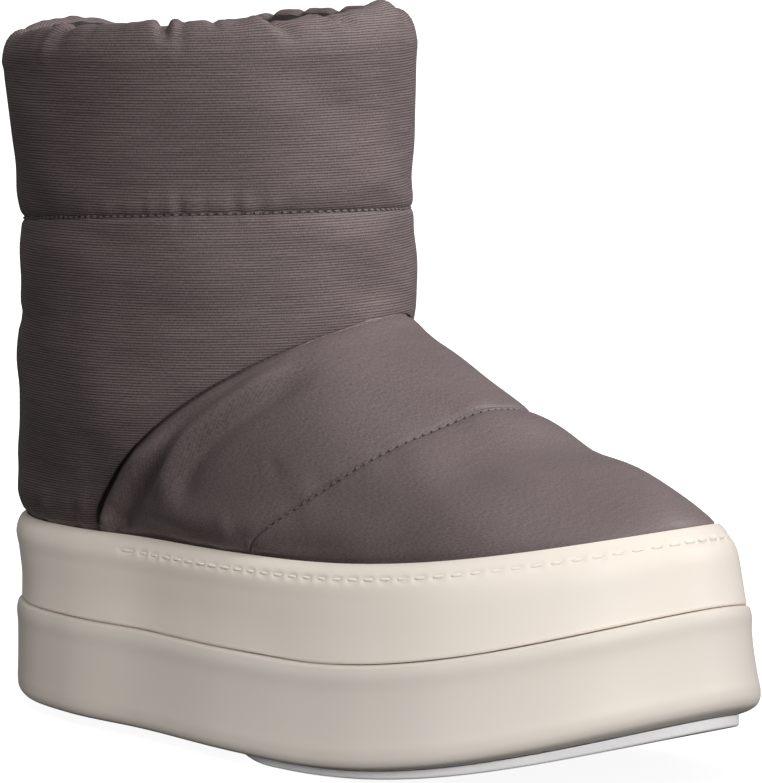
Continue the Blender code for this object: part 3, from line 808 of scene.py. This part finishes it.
class Dress:
    """Moves of the upper's vertices in millimetres, along the normals unless said otherwise."""

    def __init__(self, upper, sheet):
        self.upper, self.points, self.normals = upper, sheet.points, sheet.normals(NORMAL_ROUNDS)
        self.row, self.column = sheet.first // COUNT, sheet.first % COUNT
        self.zone, self.bearing, self.height = upper.zone[self.row], BEARING[self.column], self.points[:, 2]
        self.degrees = np.degrees(self.bearing)
        self.outside = (self.zone != "lining") & (self.zone != "tuck")
        self.turned = (self.zone == "shaft") | (self.zone == "collar")
        self.free = smooth_ramp(self.height - FOOT_Z[self.column], *FREE_OF_LIP) * self.outside
        self.free_vamp = np.where(self.zone == "vamp", self.free, 0.0)
        flat = [np.cos(self.bearing), np.sin(self.bearing), 0 * self.bearing]
        self.around = np.column_stack(flat) * SHAFT_RADIUS
        seam, quilt = upper.grid[upper.seam_row][IN_VAMP], upper.grid[upper.quilt_row][BY_QUILT]
        self.from_seam, _ = near_curve(seam, self.points, SEWN_REACH)
        self.from_quilt, self.quilt_place = near_curve(quilt, self.points, SEWN_REACH)
        self.from_ring = np.abs(self.height - RING_Z[self.column])

    def creases(self):
        """Cloth drawn in along the seam, the quilt line and the ring line."""
        quilt = QUILT_SHOULDER.depth * bell(self.from_quilt, QUILT_SHOULDER.reach)
        quilt -= drawn(self.from_quilt, QUILT_CREASE)
        vamp = (quilt - drawn(self.from_seam, SEAM_TUCK)) * self.free_vamp
        shaft = np.where(self.zone == "shaft", self.free, 0.0) * drawn(self.from_seam, SEAM_TURN)
        return vamp - shaft - np.where(self.turned, drawn(self.from_ring, RING_CREASE), 0.0)

    def puckers(self):
        """Small ripples beside the sewn lines."""
        wave = np.zeros(len(self.points))
        for pucker in RING_PUCKERS:
            drift = ripple(self.around, pucker.seed + 1, pucker.drift_length)
            size = pucker.size * (1 - pucker.drift + pucker.drift * drift)
            wave += size * ripple(self.around, pucker.seed, pucker.length)
        over, under = beside(self.from_ring, BAND_OVER_RING), beside(self.from_ring, BAND_UNDER_RING)
        (least, more), (bearing, spread) = PUCKER_RANGE, PUCKER_MOST
        strength = least + more * bell(self.degrees - bearing, spread)
        ring_wave = wave * np.where(self.zone == "collar", over, under) * strength
        along_quilt = self.quilt_place[:, None] * (QUILT_LENGTH, 0.0, 0.0)
        vamp_wave = ripples(along_quilt, QUILT_PUCKER) * beside(self.from_quilt, BAND_AT_VAMP_LINES)
        vamp_wave += ripples(self.points, SEAM_PUCKER) * beside(self.from_seam, BAND_AT_VAMP_LINES)
        return np.where(self.turned, ring_wave, 0.0) + vamp_wave * self.free_vamp

    def heel_hollow(self):
        hollow = HEEL_HOLLOW
        depth = hollow.depth * bell(self.degrees - hollow.bearing, hollow.spread) * self.turned * self.free
        deeper = 1 + hollow.deeper * bell(self.height - hollow.middle, hollow.half)
        return -depth * smooth_ramp(self.height, *hollow.begins) * deeper

    def folds(self):
        tree = point_tree(self.points, np.flatnonzero(self.outside))
        total = np.zeros(len(self.points))
        for fold in FOLDS:
            line = laid_on(smooth_curve(fold.points, FOLD_SAMPLES, False), tree, self.points, self.normals)
            gap, place = near_curve(line, self.points, fold.width * FOLD_REACH)
            total += fold.height * bell(gap, fold.width) * fold_ends(fold, place, path_along(line)[-1])
        clear_of_seam = 1 - SEAM_GUARD.depth * bell(self.from_seam, SEAM_GUARD.reach)
        return total * self.free * clear_of_seam * (self.zone != "roll")

    def swell(self):
        clear = smooth_ramp(np.minimum(self.from_ring, self.from_seam), *SWELL_CLEAR) * self.free
        return ripples(self.points, SWELL) * np.where(self.zone == "roll", ROLL_SWELL, 1.0) * clear

    def gathers(self):
        """Pleats and small waves of the rim, by the way down from its crest, negative on the inside."""
        steps = np.linalg.norm(np.diff(self.upper.grid, axis=0), axis=2)
        path = np.concatenate([np.zeros((1, COUNT)), np.cumsum(steps, axis=0)])
        depth = (path[self.upper.crest] - path)[self.row, self.column]
        way = np.abs(depth)
        rim = ripples(self.around, GATHERS) * (1 - smooth_ramp(way, *GATHER_DEPTH))
        off_shoulder, shoulder_width = PLEAT_SHOULDER
        for pleat in PLEATS:
            centre = pleat.bearing + pleat.slant * np.clip(depth, PLEAT_INSIDE, None)
            off = np.radians((self.degrees - centre + 180.0) % 360.0 - 180.0) * SHAFT_RADIUS
            reach = np.where(depth > 0, pleat.out, pleat.inside)
            wide = pleat.width * (1 + PLEAT_GROWTH * np.clip(way / reach, 0, 1))
            shape = pleat.depth * bell(off, wide)
            shape -= pleat.shoulder * bell(off + off_shoulder * wide, shoulder_width * wide)
            rim -= shape * (1 - smooth_ramp(way, PLEAT_FADE * reach, reach))
        in_rim = np.isin(self.zone, ("roll", "collar", "lining")) & (self.height > RING_HEIGHT)
        return np.where(in_rim, rim, 0.0)

    def overhang(self):
        """Way outwards, in plan, of the cloth that rests on the lip."""
        x = FOOT_PLAN[self.column, 0]
        over_lip = self.height - lip_at(x)
        side, toe = (form.out * smooth_ramp(over_lip, *form.begins) * (1 - smooth_ramp(over_lip, *form.ends))
                     for form in (SIDE_OVERHANG, TOE_OVERHANG))
        settle = side + (toe - side) * smooth_ramp(x, *TOE_OVERHANG_STATIONS)
        outward = np.column_stack([on_edge(RUN, EDGE_NORMAL), 0 * RUN])
        return outward[self.column] * (settle * self.outside)[:, None]


def dress_upper(upper, sheet):
    """Move the shell's vertices and give the normals that they moved along."""
    dress = Dress(upper, sheet)
    move = dress.creases() + dress.puckers() + dress.heel_hollow()
    move += dress.folds() + dress.swell() + dress.gathers()
    sheet.points = dress.points + dress.normals * move[:, None] + dress.overhang()
    return dress.normals


def path_along(line):
    """Distance of each point along a line of points."""
    return np.concatenate([[0.0], np.cumsum(np.linalg.norm(np.diff(line, axis=0), axis=1))])


def walk(line, normals, places):
    """Points, tangents and normals at distances along a line of points."""
    path = path_along(line)

    def at(values, places):
        return np.column_stack([np.interp(places, path, values[:, k]) for k in range(3)])

    tangent = unit(at(line, places + TANGENT_STEP) - at(line, places - TANGENT_STEP))
    normal = at(normals, places)
    normal = unit(normal - tangent * (normal * tangent).sum(axis=1)[:, None])
    return at(line, places), tangent, normal


def sew(name, line, normals, places, lengths, stitch, material):
    """Threads at places along a line: one bent capsule for each stitch, its ends sunk in."""
    sides, spans = THREAD_SIDES, THREAD_SPANS
    t = np.linspace(-1, 1, spans + 1)[:, None, None]
    angle = np.arange(sides)[:, None] * 2 * math.pi / sides
    end_power, end_least = THREAD_END
    radius = stitch.thread / 2 * np.sqrt(np.clip(1 - np.abs(t) ** end_power, end_least, 1))
    height = stitch.proud - stitch.sink * stitch.thread * t ** THREAD_DIP_POWER
    points, faces = [], []
    for place, tangent, normal, length in zip(*walk(line, normals, places), lengths):
        start = len(points) * (spans + 1) * sides
        last = start + spans * sides
        centre = place + tangent * t * length / 2 + normal * height
        points.append(centre + (np.cross(normal, tangent) * np.cos(angle) + normal * np.sin(angle)) * radius)
        for near in range(start, last):
            far = near - near % sides + (near + 1) % sides
            faces.append((near, far, far + sides, near + sides))
        faces.append(list(range(start, start + sides))[::-1])
        faces.append(list(range(last, last + sides)))
    mesh = smooth_mesh(name, np.concatenate(points).reshape(-1, 3), faces, [material])
    vertex = np.zeros(len(mesh.loops), np.int32)
    mesh.loops.foreach_get("vertex_index", vertex)
    along_thread = t.ravel()[vertex // sides % (spans + 1)]
    lay_cloth(mesh, np.column_stack([along_thread, 0 * along_thread]))
    mesh.update()
    return link_object(name, mesh)


# Materials
class Tree:
    """Short ways to write the nodes of a material or a world."""

    def __init__(self, owner):
        owner.use_nodes = True
        self.nodes, self.links = owner.node_tree.nodes, owner.node_tree.links

    def feed(self, node, inputs):
        """Set or link a node's inputs."""
        for key, value in inputs.items():
            if isinstance(value, bpy.types.NodeSocket):
                self.links.new(value, node.inputs[key])
            else:
                node.inputs[key].default_value = value

    def node(self, kind, inputs=None, **settings):
        node = self.nodes.new(kind)
        for key, value in settings.items():
            setattr(node, key, value)
        self.feed(node, inputs or {})
        return node

    def math(self, operation, *values):
        return self.node("ShaderNodeMath", dict(enumerate(values)), operation=operation).outputs[0]

    def times(self, a, b):
        return self.math("MULTIPLY", a, b)

    def plus(self, a, b):
        return self.math("ADD", a, b)

    def times_plus(self, a, b, c):
        return self.math("MULTIPLY_ADD", a, b, c)


class Nodes(Tree):
    """A material with its surface."""

    def __init__(self, name, roughness, sheen, sheen_roughness, specular):
        self.material = bpy.data.materials.new(name)
        super().__init__(self.material)
        self.surface = self.nodes["Principled BSDF"]
        self.feed(self.surface, {"Roughness": roughness, "Sheen Weight": sheen,
                                 "Sheen Roughness": sheen_roughness, "Specular IOR Level": specular})

    def place(self):
        return self.node("ShaderNodeTexCoord").outputs["Object"]

    def cloth(self):
        uv = self.node("ShaderNodeUVMap", uv_map="cloth").outputs["UV"]
        split = self.node("ShaderNodeSeparateXYZ", {0: uv})
        return split.outputs["X"], split.outputs["Y"]

    def noise(self, scale, detail, rough, vector=None):
        inputs = {"Vector": vector or self.place(), "Scale": scale, "Detail": detail, "Roughness": rough}
        return self.node("ShaderNodeTexNoise", inputs).outputs["Fac"]

    def cloth_noise(self, along, across, detail, rough):
        """Noise with its own scales along and across the ribs."""
        u, v = self.cloth()
        vector = self.node("ShaderNodeCombineXYZ", {0: self.times(u, along), 1: self.times(v, across)})
        return self.noise(1.0, detail, rough, vector.outputs[0])

    def ramp(self, factor, stops):
        node = self.node("ShaderNodeValToRGB", {"Fac": factor})
        elements = node.color_ramp.elements
        while len(elements) < len(stops):
            elements.new(0.5)
        for element, (position, colour) in zip(elements, stops):
            element.position = position
            element.color = (*colour, 1.0)
        return node.outputs["Color"]

    def bump(self, height, strength, distance):
        node = self.node("ShaderNodeBump", {"Strength": strength, "Distance": distance, "Height": height})
        return node.outputs["Normal"]

    def finish(self, colour, normal, **inputs):
        """Link the surface's colour, its normal and other inputs."""
        self.feed(self.surface, {"Base Color": colour, "Normal": normal, **inputs})
        return self.material


NYLON_DARK = (0.085, 0.064, 0.063)
NYLON_MID = (0.170, 0.130, 0.129)
NYLON_LIGHT = (0.255, 0.198, 0.197)


def nylon(name, pitch, relief, ribs, grain, smoothness):
    """Ribbed nylon: fine cords across the cloth, slubs along them, yarns across them, a faint sheen, and
    painted shade in the grooves between the cords.
    """
    nodes = Nodes(name, 0.62, 0.05, 0.35, 0.2 + smoothness)
    _, v = nodes.cloth()
    slow = nodes.cloth_noise(0.02, 0.06, 2.0, 0.5)
    turns = nodes.plus(nodes.times(v, 1.0 / pitch), nodes.times(slow, 0.7))
    rib = nodes.math("ABSOLUTE", nodes.math("SINE", nodes.times(turns, math.pi)))
    slub = nodes.cloth_noise(0.06, 0.8 / pitch, 3.0, 0.6)
    yarn = nodes.cloth_noise(2.4, 0.9, 2.0, 0.6)
    weave = nodes.times_plus(yarn, 0.9, nodes.plus(rib, nodes.times(slub, 0.35)))
    patch = nodes.noise(26.0, 4.0, 0.6)
    # Painted shade: the tone is lighter on each cord's crest and darker in the groove beside it, alongside
    # the bump of the same cords.
    tone = nodes.times_plus(nodes.plus(rib, -0.64), ribs, 0.5)
    tone = nodes.plus(tone, nodes.times_plus(slub, 0.9 * ribs, -0.45 * ribs))
    tone = nodes.plus(tone, nodes.times_plus(yarn, 2.0 * grain, -grain))
    tone = nodes.plus(tone, nodes.times_plus(patch, 0.3, -0.15))
    colour = nodes.ramp(tone, [(0.0, NYLON_DARK), (0.5, NYLON_MID), (1.0, NYLON_LIGHT)])
    roughness = nodes.times_plus(slub, 0.2, 0.5 - smoothness)
    return nodes.finish(colour, nodes.bump(weave, 1.0, relief), Roughness=roughness)


def shaded_fleece():
    """Dark brushed lining, made darker still with painted shade of the boot's inside."""
    nodes = Nodes("lining_fleece", 0.9, 0.15, 0.5, 0.2)
    pile, patch = nodes.noise(900.0, 4.0, 0.7), nodes.noise(60.0, 3.0, 0.6)
    tone = nodes.plus(nodes.times(pile, 0.6), nodes.times(patch, 0.4))
    # Partly the lining's own dark colour and partly painted shade of the opening and the footbed.
    colour = nodes.ramp(tone, [(0.25, (0.022, 0.018, 0.018)), (0.75, (0.06, 0.05, 0.049))])
    return nodes.finish(colour, nodes.bump(tone, 0.7, 0.0008))


def cream_rubber(name, shades):
    """Matte cream moulding with faint warm and cool drift."""
    nodes = Nodes(name, 0.5, 0.0, 0.4, 0.4)
    drift = nodes.noise(14.0, 3.0, 0.55)
    colour = nodes.ramp(drift, list(zip((0.3, 0.5, 0.72), shades)))
    relief = nodes.plus(nodes.times(nodes.noise(1500.0, 2.0, 0.5), 0.12), nodes.noise(70.0, 2.0, 0.5))
    roughness = nodes.times_plus(drift, 0.16, 0.42)
    return nodes.finish(colour, nodes.bump(relief, 0.12, 0.0006), Roughness=roughness)


def tread_rubber():
    """Pale grey-white tread with faint scuffs."""
    nodes = Nodes("tread_rubber", 0.6, 0.0, 0.4, 0.4)
    drift = nodes.noise(40.0, 4.0, 0.6)
    colour = nodes.ramp(drift, [(0.3, (0.76, 0.745, 0.75)), (0.7, (0.84, 0.82, 0.825))])
    relief = nodes.bump(nodes.noise(1200.0, 3.0, 0.6), 0.25, 0.0003)
    return nodes.finish(colour, relief, Roughness=nodes.times_plus(drift, 0.25, 0.45))


def thread(name, needle_hole_shade, dark, light, roughness):
    """Twisted sewing thread, darkened at its ends with painted shade, where it goes down its needle holes."""
    nodes = Nodes(name, roughness, 0.2, 0.3, 0.4)
    twist = nodes.noise(2600.0, 2.0, 0.5)
    along, _ = nodes.cloth()
    # Painted shade: the tone falls towards the needle hole colour at both ends of each stitch.
    end = nodes.times_plus(nodes.math("POWER", nodes.math("ABSOLUTE", along), 2.2), -0.6, 0.55)
    tone = nodes.plus(nodes.times(twist, 0.5), end)
    colour = nodes.ramp(tone, [(0.3, needle_hole_shade), (0.6, dark), (0.9, light)])
    return nodes.finish(colour, nodes.bump(twist, 0.4, 0.0001))


# The fourth number sets both the painted shade between the cords and the slub tone.
SHAFT_NYLON = nylon("shaft_nylon", 0.845, 0.00007, 1.0, 0.7, 0.0)
VAMP_NYLON = nylon("vamp_nylon", 0.76, 0.00003, 0.25, 0.7, 0.1)
SHADED_FLEECE = shaded_fleece()
CUP_SHADES = [(0.79, 0.71, 0.622), (0.815, 0.737, 0.652), (0.82, 0.74, 0.667)]
CUP_CREAM = cream_rubber("cup_cream", CUP_SHADES)
PLATFORM_SHADES = [(0.69, 0.623, 0.549), (0.715, 0.65, 0.578), (0.72, 0.653, 0.592)]
PLATFORM_CREAM = cream_rubber("platform_cream", PLATFORM_SHADES)
TREAD = tread_rubber()
# The first colour of each thread is painted shade of its needle holes.
CLOTH_THREAD = thread("cloth_thread", (0.012, 0.009, 0.009), (0.10, 0.078, 0.077), (0.23, 0.185, 0.18), 0.5)
SOLE_THREAD = thread("sole_thread", (0.55, 0.48, 0.41), (0.78, 0.71, 0.63), (0.86, 0.80, 0.73), 0.5)


def finish_piece(piece, slot, *nodes):
    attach(piece, "root")
    if nodes:
        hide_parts(*nodes)


# Upper
upper = Upper()
upper_sheet = Sheet(upper.grid, True)
upper_normals = dress_upper(upper, upper_sheet)
row_paint = np.where(upper.zone == "vamp", 1, 0)
row_paint[upper.seam_row] = 0
# From two rows past the roll's crest the lining's dark colour, partly painted shade below the rim, takes
# over.
row_paint[upper.crest + TURNED_IN_ROWS:] = 2
shell_materials = [SHAFT_NYLON, VAMP_NYLON, SHADED_FLEECE]
shell = upper_sheet.build("upper_shell", shell_materials, cloth_uv(upper), row_paint)
finish_piece(shell, "shell", "upper")


def sewn_row(name, row, columns, closed):
    """Cloth stitches along one row of the upper."""
    ids = upper_sheet.index[row, columns]
    if closed:
        ids = np.append(ids, ids[0])
    line = upper_sheet.points[ids]
    length = path_along(line)[-1]
    count = int(length / CLOTH_STITCH.pitch)
    places, lengths = (np.arange(count) + 0.5) * length / count, [CLOTH_STITCH.length] * count
    finish_piece(sew(name, line, upper_normals[ids], places, lengths, CLOTH_STITCH, CLOTH_THREAD), "shell")


sewn_row("stitches_shaft", upper.ring_row, np.arange(COUNT), True)
quilt_columns = np.flatnonzero(BY_QUILT)[BARE_QUILT_COLUMNS:-BARE_QUILT_COLUMNS]
sewn_row("stitches_vamp", upper.quilt_row, quilt_columns, False)


# Sole
SOLE_RUN = np.linspace(0, 1, SOLE_COLUMNS, endpoint=False)
BAND_RUN = SOLE_RUN[::2]
FLAT_RUN = SOLE_RUN[::4]


def lip_draw(run, out, share):
    """How far the lip's outer side draws in towards the toe, where it is rounder."""
    toe = TOE_LIP_ROUND * smooth_ramp(station(run), *TOE_LIP_STATIONS)
    return toe * (CUP_WALL + out) * np.clip((share - TOE_LIP_FROM) / (1 - TOE_LIP_FROM), 0, 1) ** 2


def cup_sheet():
    rows = [ring(SOLE_RUN, inset, cup_height(0.0)) for inset in CUP_FOOT_INSETS]
    for share, out, tilt in smooth_curve(np.array(CUP_ROWS) * CUP_SCALE, CUP_SAMPLES, False) / CUP_SCALE:
        inset = -out + tilt * lean(SOLE_RUN) + lip_draw(SOLE_RUN, out, share)
        rows.append(ring(SOLE_RUN, inset, cup_height(max(share, CUP_LOWEST))))
    inside = CUP_WALL + lean(SOLE_RUN)
    rows.append(ring(SOLE_RUN, inside, lambda x: floor_at(x) + CUP_CORNER))
    rows.append(ring(SOLE_RUN, inside + CUP_CORNER, floor_at))
    return capped_sheet(rows)


def sole_stitch_places():
    """Distances along the sole's edge of its stitches and their lengths."""
    start, end = (run_at(SOLE_STITCH_START, side) * EDGE_LENGTH for side in (True, False))
    places = [start, start + (SOLE_FIRST_LENGTH + SOLE_STITCH.length) / 2 + SOLE_FIRST_GAP]
    while places[-1] + SOLE_STITCH.pitch < end:
        places.append(places[-1] + SOLE_STITCH.pitch)
    sizes = [SOLE_FIRST_LENGTH] + [SOLE_STITCH.length] * (len(places) - 1)
    return np.array(places), np.array(sizes)


cup = cup_sheet()
cup_normals = cup.normals(CUP_NORMAL_ROUNDS)
stitch_places, stitch_lengths = sole_stitch_places()
cup_run = SOLE_RUN[cup.first % SOLE_COLUMNS] * EDGE_LENGTH
cup_row = cup.first // SOLE_COLUMNS
below_lip = lip_at(cup.points[:, 0]) - cup.points[:, 2]
first_wall_row = len(CUP_FOOT_INSETS)
outer_face = (cup_row >= first_wall_row) & (cup_row < first_wall_row + CUP_SAMPLES * OUTER_CUP_SPANS)
nearest = np.abs(cup_run[:, None] - stitch_places[None, :])
pick = nearest.argmin(axis=1)
lens = np.clip(1 - (nearest.min(axis=1) / (stitch_lengths[pick] * RECESS_SHARE)) ** 2, 0, 1)
groove = RECESS_DEPTH * lens * bell(below_lip - SOLE_STITCH_DROP, RECESS_WIDTH)
wander = ripples(cup.points, SOLE_WANDER) * smooth_ramp(below_lip, *WANDER_CLEAR)
cup.points = cup.points - cup_normals * ((groove - wander) * outer_face)[:, None]
finish_piece(cup.build("cupsole_tray", [CUP_CREAM]), "sole", "cupsole")

stitch_run = np.linspace(0, 1, SOLE_STITCH_SAMPLES)
stitch_station = station(stitch_run)
stitch_share = 1 - SOLE_STITCH_DROP / (lip_at(stitch_station) - step_at(stitch_station))
stitch_inset = SOLE_STITCH_INSET + lean(stitch_run) + lip_draw(stitch_run, -SOLE_STITCH_INSET, stitch_share)
stitch_line = ring(stitch_run, stitch_inset, lambda x: lip_at(x) - SOLE_STITCH_DROP)
stitch_normals = np.column_stack([on_edge(stitch_run, EDGE_NORMAL), 0 * stitch_run])
sewn_places = np.interp(stitch_places / EDGE_LENGTH, stitch_run, path_along(stitch_line))
sewn_edge = (stitch_line, stitch_normals, sewn_places, stitch_lengths)
finish_piece(sew("stitches_sole", *sewn_edge, SOLE_STITCH, SOLE_THREAD), "sole")


def platform_sheet():
    foot_inset, top_inset = PLATFORM_INSETS
    levels = [(foot_inset, TREAD_HEIGHT)]
    curve = smooth_curve(np.array(PLATFORM_ROWS) * PLATFORM_SCALE, PLATFORM_SAMPLES, False) / PLATFORM_SCALE
    for rise, out, share in curve:
        level = TREAD_HEIGHT + np.clip(rise, 0.0, PLATFORM_ROWS[-1].rise)
        levels.append((-out - share * flare(BAND_RUN), level))
    levels.append((top_inset - PLATFORM_ROWS[-1].out, STEP_HEIGHT))
    rows = [ring(BAND_RUN, inset, lambda x: z + toe_rise(x, STEP_SPRING)) for inset, z in levels]
    return capped_sheet(rows)


finish_piece(platform_sheet().build("platform_band", [PLATFORM_CREAM]), "sole", "platform")


def insole_sheet():
    inset = CUP_WALL + lean(FLAT_RUN) + GAP + TUCK_WALL + GAP
    rows = [ring(FLAT_RUN, inset + extra, lambda x: floor_at(x) + GAP + z) for extra, z in INSOLE_ROWS]
    return capped_sheet(rows)


# The footbed wears the lining colour with its painted shade.
finish_piece(insole_sheet().build("footbed", [SHADED_FLEECE]), "lining", "insole")


def tread_sheet():
    inset = tread_inset(FLAT_RUN)
    rows = [ring(FLAT_RUN, inset + extra, lambda x: z + toe_rise(x, TREAD_SPRING)) for extra, z in TREAD_ROWS]
    for extra in TREAD_TOP_INSETS:
        rows.append(ring(FLAT_RUN, inset + extra, lambda x: TREAD_HEIGHT - GAP + toe_rise(x, STEP_SPRING)))
    return capped_sheet(rows)


def cut_lugs(tread):
    """Cut the grooves between the tread's cross bars, with sloped sides, short of its rim."""
    cutter = bmesh.new()
    half = FLAT_RUN[:len(FLAT_RUN) // 2]
    for x in np.arange(LUG_FIRST, STEP_LENGTH - LUG_PITCH, LUG_PITCH):
        inset = float(np.interp(x, station(half), tread_inset(half))) + TREAD_RIM
        right, left = (edge_at(np.array([run_at(x, lateral)]), inset)[0, 1] for lateral in (True, False))
        top = LUG_DEPTH + float(toe_rise(x, TREAD_SPRING))
        for vert in bmesh.ops.create_cube(cutter, size=1.0)["verts"]:
            high = vert.co.z > 0
            narrow = LUG_TAPER if high else 0.0
            size = np.array((LUG_GROOVE - narrow, left - right - narrow, 1.0))
            spot = np.array((x, (left + right) / 2, 0.0)) + np.array(vert.co) * size
            spot[2] = top if high else top - LUG_DEPTH - LUG_OVERCUT
            vert.co = (spot - ORIGIN) * MM
    data = bpy.data.meshes.new("lug_cutter")
    cutter.to_mesh(data)
    cutter.free()
    tool = link_object("lug_cutter", data)
    cut = tread.modifiers.new("lugs", "BOOLEAN")
    cut.object = tool
    cut.operation = "DIFFERENCE"
    cut.solver = "EXACT"
    bpy.context.view_layer.update()
    finished = bpy.data.meshes.new_from_object(tread.evaluated_get(bpy.context.evaluated_depsgraph_get()))
    tread.modifiers.clear()
    tread.data = finished
    bpy.data.objects.remove(tool, do_unlink=True)
    tread.data.set_sharp_from_angle(angle=math.radians(LUG_SHARP_ANGLE))


tread = tread_sheet().build("tread_sheet", [TREAD])
cut_lugs(tread)
finish_piece(tread, "tread", "outsole")


# Stage: floor, lights and camera
FLOOR_GLOW = (0.93, 1.2)
FLOOR_GLOW_REACH = (0.18, 0.5)
FLOOR_BOUNCE = (0.2, 0.2, 0.2)
SKY_FILL = 0.12
FLOOR_SPAN = 40.0
MIDDLE = (0.03, 0.0, 0.10)
LIT_PIECES = {
    "upper_only": ("upper_shell", "stitches_shaft", "stitches_vamp", "footbed"),
    "sole_only": ("cupsole_tray", "stitches_sole", "platform_band", "tread_sheet"),
    "floor_only": ("studio_floor",),
}
# Lamps: degrees right of the camera and above the floor, power, size and distance from the boot.
Lamp = namedtuple("Lamp", "name lights turn rise power size distance", defaults=(0.5, 1.4))
LAMPS = [
    Lamp("key", "upper_only", 27.0, 15.0, 10.2),
    Lamp("key_high", "upper_only", 40.0, 50.0, 4.5),
    Lamp("right", "upper_only", 100.0, 40.0, 12.4),
    Lamp("fill", "upper_only", -40.0, 20.0, 1.6),
    Lamp("top", "upper_only", -60.0, 75.0, 2.2),
    Lamp("sole_key", "sole_only", 12.0, 15.0, 13.6),
    Lamp("sole_right", "sole_only", 86.0, 15.0, 9.0),
    Lamp("sole_top", "sole_only", 0.0, 88.0, 6.2),
    Lamp("sole_fill", "sole_only", -50.0, 15.0, 4.8, 0.8),
    Lamp("pool", "floor_only", 0.0, 89.0, 9.0, 1.5, 1.6),
]


def floor_material():
    """Pale floor that glows to white away from the boot and throws little light back."""
    nodes = Nodes("studio_floor", 0.8, 0.0, 0.4, 0.1)
    drift = nodes.noise(3.0, 2.0, 0.5)
    length = nodes.node("ShaderNodeVectorMath", {0: nodes.place()}, operation="LENGTH").outputs["Value"]
    (near, far), (low, high) = FLOOR_GLOW_REACH, FLOOR_GLOW
    span = {"Value": length, "From Min": near, "From Max": far, "To Min": low, "To Max": high}
    glow = nodes.node("ShaderNodeMapRange", span, interpolation_type="SMOOTHSTEP").outputs["Result"]
    nodes.feed(nodes.surface, {
        "Base Color": nodes.ramp(drift, [(0.3, (0.90, 0.90, 0.90)), (0.7, (0.93, 0.93, 0.93))]),
        "Emission Color": (1.0, 1.0, 1.0, 1.0), "Emission Strength": glow})
    bounce = nodes.node("ShaderNodeBsdfDiffuse", {"Color": (*FLOOR_BOUNCE, 1.0)})
    seen = nodes.node("ShaderNodeLightPath").outputs["Is Camera Ray"]
    mix = nodes.node("ShaderNodeMixShader", {"Fac": seen, 1: bounce.outputs[0], 2: nodes.surface.outputs[0]})
    nodes.feed(nodes.nodes["Material Output"], {"Surface": mix.outputs[0]})
    return nodes.material


floor_mesh = bpy.data.meshes.new("studio_floor")
far = FLOOR_SPAN / 2
floor_mesh.from_pydata([(-far, -far, 0), (far, -far, 0), (far, far, 0), (-far, far, 0)], [], [(0, 1, 2, 3)])
floor_mesh.materials.append(floor_material())
studio_floor = link_object("studio_floor", floor_mesh)


def studio_world():
    """Even soft light from all round, before a white backdrop."""
    world = bpy.data.worlds.new("studio")
    tree = Tree(world)
    seen = tree.node("ShaderNodeLightPath").outputs["Is Camera Ray"]
    strength = tree.times_plus(seen, 1.0 - SKY_FILL, SKY_FILL)
    tree.feed(tree.nodes["Background"], {"Color": (1.0, 1.0, 1.0, 1.0), "Strength": strength})
    return world


bpy.context.scene.world = studio_world()


def studio_light(lamp, receivers):
    """Soft light aimed at the boot, at degrees right of the photograph's camera and above the floor."""
    turn, rise = math.radians(lamp.turn), math.radians(lamp.rise)
    toward = Vector((CAMERA_BACK[0], CAMERA_BACK[1], 0.0)).normalized()
    side = Vector((CAMERA_RIGHT[0], CAMERA_RIGHT[1], 0.0)).normalized()
    level = toward * math.cos(turn) + side * math.sin(turn)
    direction = level * math.cos(rise) + Vector((0.0, 0.0, math.sin(rise)))
    light = bpy.data.lights.new(lamp.name, "AREA")
    light.size = lamp.size
    light.energy = lamp.power
    made = link_object(lamp.name, light)
    made.location = Vector(MIDDLE) + direction * lamp.distance
    made.rotation_mode = "QUATERNION"
    made.rotation_quaternion = (-direction).to_track_quat("-Z", "Y")
    made.light_linking.receiver_collection = receivers


lit = {name: bpy.data.collections.new(name) for name in LIT_PIECES}
for name, pieces in LIT_PIECES.items():
    for piece in pieces:
        lit[name].objects.link(bpy.data.objects[piece])
for lamp in LAMPS:
    studio_light(lamp, lit[lamp.lights])

camera = bpy.data.cameras.new("photo_camera")
camera.sensor_width = SENSOR_MM
camera.lens = CAMERA_FOCAL_PX / PHOTO_LONG_SIDE_PX * SENSOR_MM
camera.clip_start, camera.clip_end = CAMERA_CLIP
view = link_object("photo_camera", camera)
axes = Matrix((CAMERA_RIGHT, CAMERA_UP, CAMERA_BACK)).transposed().to_4x4()
view.matrix_world = Matrix.Translation(CAMERA_PLACE) @ axes
bpy.context.scene.camera = view
bpy.context.scene.view_settings.view_transform = "Standard"

bpy.context.view_layer.update()
